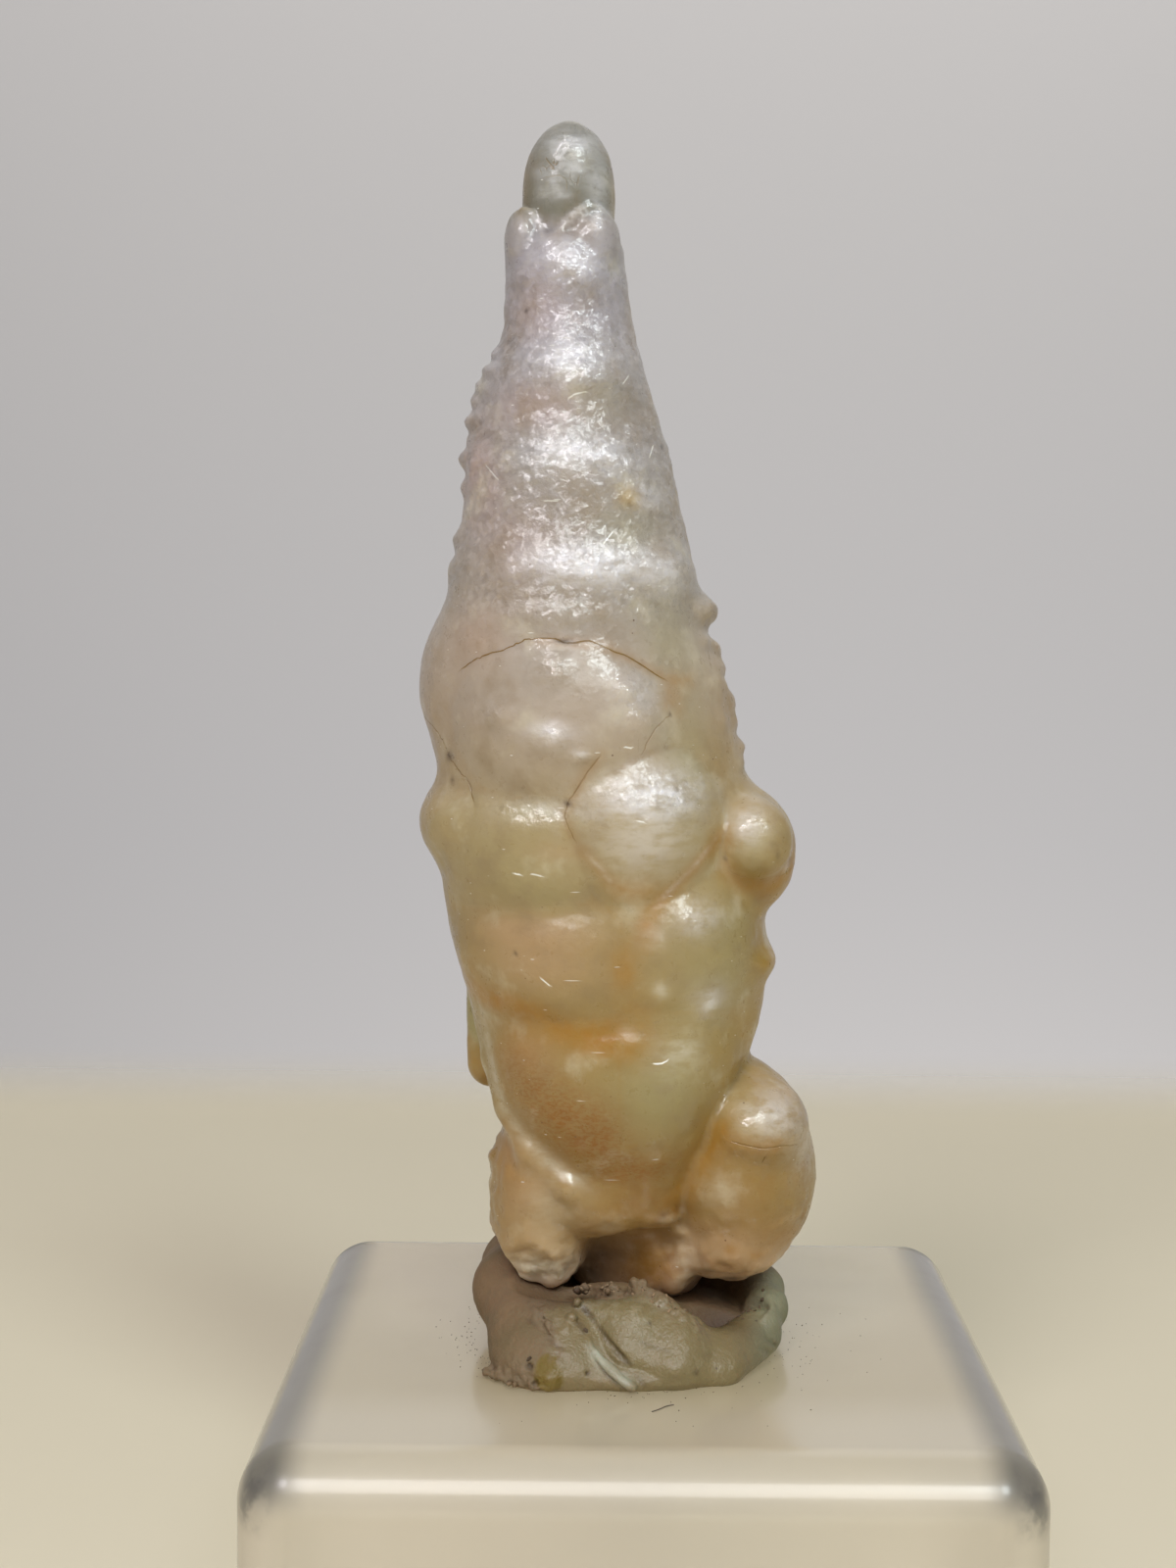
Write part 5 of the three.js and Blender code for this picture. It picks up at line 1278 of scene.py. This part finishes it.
def scatter(name, points, values, material, treeAndKeys):
    tree, keys = treeAndKeys
    seedMesh = bpy.data.meshes.new(name + "_places")
    seedMesh.from_pydata((points * 0.001 + np.array([0, 0, blockTop])).tolist(), [], [])
    holder = bpy.data.objects.new(name + "_places", seedMesh)
    bpy.context.scene.collection.objects.link(holder)
    modifier = holder.modifiers.new("scatter", "NODES")
    modifier.node_group = tree
    modifier[keys["count"]] = values["count"]
    modifier[keys["size"]] = values["size"] * 0.001
    modifier[keys["seed"]] = values["seed"]
    modifier[keys["finish"]] = material
    ready = holder.evaluated_get(bpy.context.evaluated_depsgraph_get())
    mesh = bpy.data.meshes.new_from_object(ready)
    mesh.name = name
    piece = bpy.data.objects.new(name, mesh)
    bpy.context.scene.collection.objects.link(piece)
    holder.modifiers.clear()
    bpy.data.objects.remove(holder)
    return piece


def makeGrit(material, crumbMaterial):
    trees = scatterTree("scatteredGrains")
    draw = np.random.default_rng(21)
    ring = grit["ring"]
    angle = draw.uniform(0, 2 * math.pi, ring["tries"])
    away = draw.exponential(ring["thin"], ring["tries"])
    # more of it lies in front of the wad and to its right
    away *= 0.5 + 0.9 * np.clip(np.cos(angle - math.radians(ring["mostAt"])), 0, 1)
    turn = np.stack([np.cos(angle), np.sin(angle)], 1)
    flat = np.array(ring["centre"]) + turn * (np.array(ring["radii"]) + away[:, None])
    flat = flat[(np.abs(flat) < ring["reach"]).all(1)]
    places = np.column_stack([flat, np.full(len(flat), 0.02)])
    dust = scatter("dust_specks", places, grit["dust"], material, trees)
    along = alongPath(tack["torn"], draw.uniform(0, 1, grit["alongTorn"]))
    along += draw.normal(0, 1, (grit["alongTorn"], 3)) * np.array(grit["tornSpread"])
    along = pullOnto(tackField, along, rounds=4, least=0.3)
    crumbs = scatter("tack_crumbs", along, grit["crumbs"], crumbMaterial, trees)
    dark = np.array(grit["darkPlaces"])
    dark = dark + draw.normal(0, 1, dark.shape) * grit["darkSpread"]
    dark = pullOnto(tackField, dark, rounds=4, least=0.3)
    return dust, crumbs, scatter("dark_crumbs", dark, grit["dark"], material, trees)


def makeFibre():
    curve = bpy.data.curves.new("fibre_line", "CURVE")
    curve.dimensions = "3D"
    curve.bevel_depth = grit["fibreRadius"] * 0.001
    curve.bevel_resolution = 2
    curve.use_fill_caps = True
    spline = curve.splines.new("NURBS")
    spline.points.add(len(grit["fibre"]) - 1)
    for point, (x, y, z) in zip(spline.points, grit["fibre"]):
        point.co = (x * 0.001, y * 0.001, z * 0.001 + blockTop, 1)
    spline.use_endpoint_u = True
    holder = bpy.data.objects.new("fibre_line", curve)
    bpy.context.scene.collection.objects.link(holder)
    mesh = bpy.data.meshes.new_from_object(holder.evaluated_get(bpy.context.evaluated_depsgraph_get()))
    piece = bpy.data.objects.new("fibre", mesh)
    bpy.context.scene.collection.objects.link(piece)
    bpy.data.objects.remove(holder)
    return piece


# camera, floor and light
view = {"place": (-2.07, -129.5, 42.97), "yaw": -0.0094, "pitch": 0.077, "roll": 0.0071, "lens": 50.6}


def makeCamera():
    yaw, pitch, tilt = view["yaw"], view["pitch"], view["roll"]
    ahead = Vector((math.sin(yaw) * math.cos(pitch), math.cos(yaw) * math.cos(pitch), -math.sin(pitch)))
    level = Vector((math.cos(yaw), -math.sin(yaw), 0))
    over = level.cross(ahead)
    right = math.cos(tilt) * level + math.sin(tilt) * over
    up = math.cos(tilt) * over - math.sin(tilt) * level
    data = bpy.data.cameras.new("view")
    data.lens, data.sensor_width = view["lens"], 36
    data.clip_start, data.clip_end = 0.005, 20
    camera = bpy.data.objects.new("view", data)
    bpy.context.scene.collection.objects.link(camera)
    x, y, z = (c * 0.001 for c in view["place"])
    camera.matrix_world = Matrix(((right.x, up.x, -ahead.x, x), (right.y, up.y, -ahead.y, y),
                                  (right.z, up.z, -ahead.z, z + blockTop), (0, 0, 0, 1)))
    bpy.context.scene.camera = camera
    bpy.context.scene.view_settings.view_transform = "Standard"


studio = {
    "floorReach": 1.5, "floorBack": 0.152, "floorFade": 0.04, "floorGap": 0.0003,
    "wallReach": 2.0, "wallBack": 0.42, "wallFoot": -1.0,
    "floor": (226, 216, 190), "wall": (184, 182, 181),
    # name: shape, place, what it points at, width, height, watts, colour
    "lights": {
        "strip": ("RECTANGLE", (0.0, -0.47, 0.46), (0, 0, 0.03), 0.50, 0.30, 1.6, (1.0, 0.98, 0.96)),
        "key_left": ("DISK", (-0.19, -0.36, 0.40), (0, 0, 0.05), 0.15, 0.15, 0.95, (0.97, 0.93, 1.0)),
        "key_right": ("DISK", (0.20, -0.34, 0.42), (0, 0, 0.05), 0.15, 0.15, 0.95, (0.86, 0.97, 1.0)),
        "wall_top": ("RECTANGLE", (0.12, 0.10, 0.50), (0.12, 0.42, 0.50), 0.7, 0.1, 1.9, (1.0, 0.98, 0.97)),
        "wall_foot": ("RECTANGLE", (0.10, 0.20, -0.35), (0, 0.42, 0.1), 0.5, 0.1, 1.8, (1.0, 0.98, 0.97)),
    },
    "sky": (0.80, 0.80, 0.84), "skyStrength": 0.26,
}


def makePlane(name, corners, colour, roughness, fade=0.0):
    mesh = bpy.data.meshes.new(name)
    mesh.from_pydata(corners, [], [(0, 1, 2, 3)])
    plane = bpy.data.objects.new(name, mesh)
    bpy.context.scene.collection.objects.link(plane)
    material, tree, where = newMaterial(name + "_paint")
    shader = addNode(tree, "ShaderNodeBsdfPrincipled", {"Base Color": paint(*colour), "Roughness": roughness,
                                                        "Specular IOR Level": 0.2})
    if fade:  # the far edge melts into the wall
        depth = addNode(tree, "ShaderNodeSeparateXYZ", {0: where}).outputs[1]
        plug(tree, shader.inputs["Alpha"], ramp(tree, depth, corners[2][1], corners[2][1] - fade))
    finishMaterial(tree, shader)
    mesh.materials.append(material)
    return plane


def makeStudio():
    wide, back, low = studio["floorReach"], studio["floorBack"], -studio["floorGap"]
    makePlane("floor", [(-wide, -wide, low), (wide, -wide, low), (wide, back, low), (-wide, back, low)],
              studio["floor"], 0.7, studio["floorFade"])
    wide, back, low = studio["wallReach"], studio["wallBack"], studio["wallFoot"]
    makePlane("backdrop", [(-wide, back, low), (wide, back, low), (wide, back, wide), (-wide, back, wide)],
              studio["wall"], 0.9)
    for name, (kind, place, target, width, tall, watts, colour) in studio["lights"].items():
        data = bpy.data.lights.new(name, "AREA")
        data.shape, data.size, data.size_y, data.energy, data.color = kind, width, tall, watts, colour
        lamp = bpy.data.objects.new(name, data)
        bpy.context.scene.collection.objects.link(lamp)
        lamp.location = place
        lamp.rotation_euler = (Vector(target) - Vector(place)).to_track_quat("-Z", "Y").to_euler()
    world = bpy.data.worlds.new("room")
    world.use_nodes = True
    glow = world.node_tree.nodes["Background"]
    glow.inputs[0].default_value = (*studio["sky"], 1)
    glow.inputs[1].default_value = studio["skyStrength"]
    bpy.context.scene.world = world


makeCamera()
makeStudio()
print("camera and studio ready")
use(makeOpal(), opalMaterial(), "opal")
use(makeTack(), tackMaterial(), "mineral_tack")
use(makeBlock(), acrylicMaterial(), "acrylic_block")
print("block made")
dust, crumbs, dark = makeGrit(plainMaterial("grit", (92, 74, 54), 0.8),
                              plainMaterial("tack_crumb", (146, 122, 92), 0.75))
use(dust, None)
use(dark, None)
use(crumbs, None)
use(makeFibre(), plainMaterial("fibre_dark", (70, 60, 52), 0.6))
print("grit made")
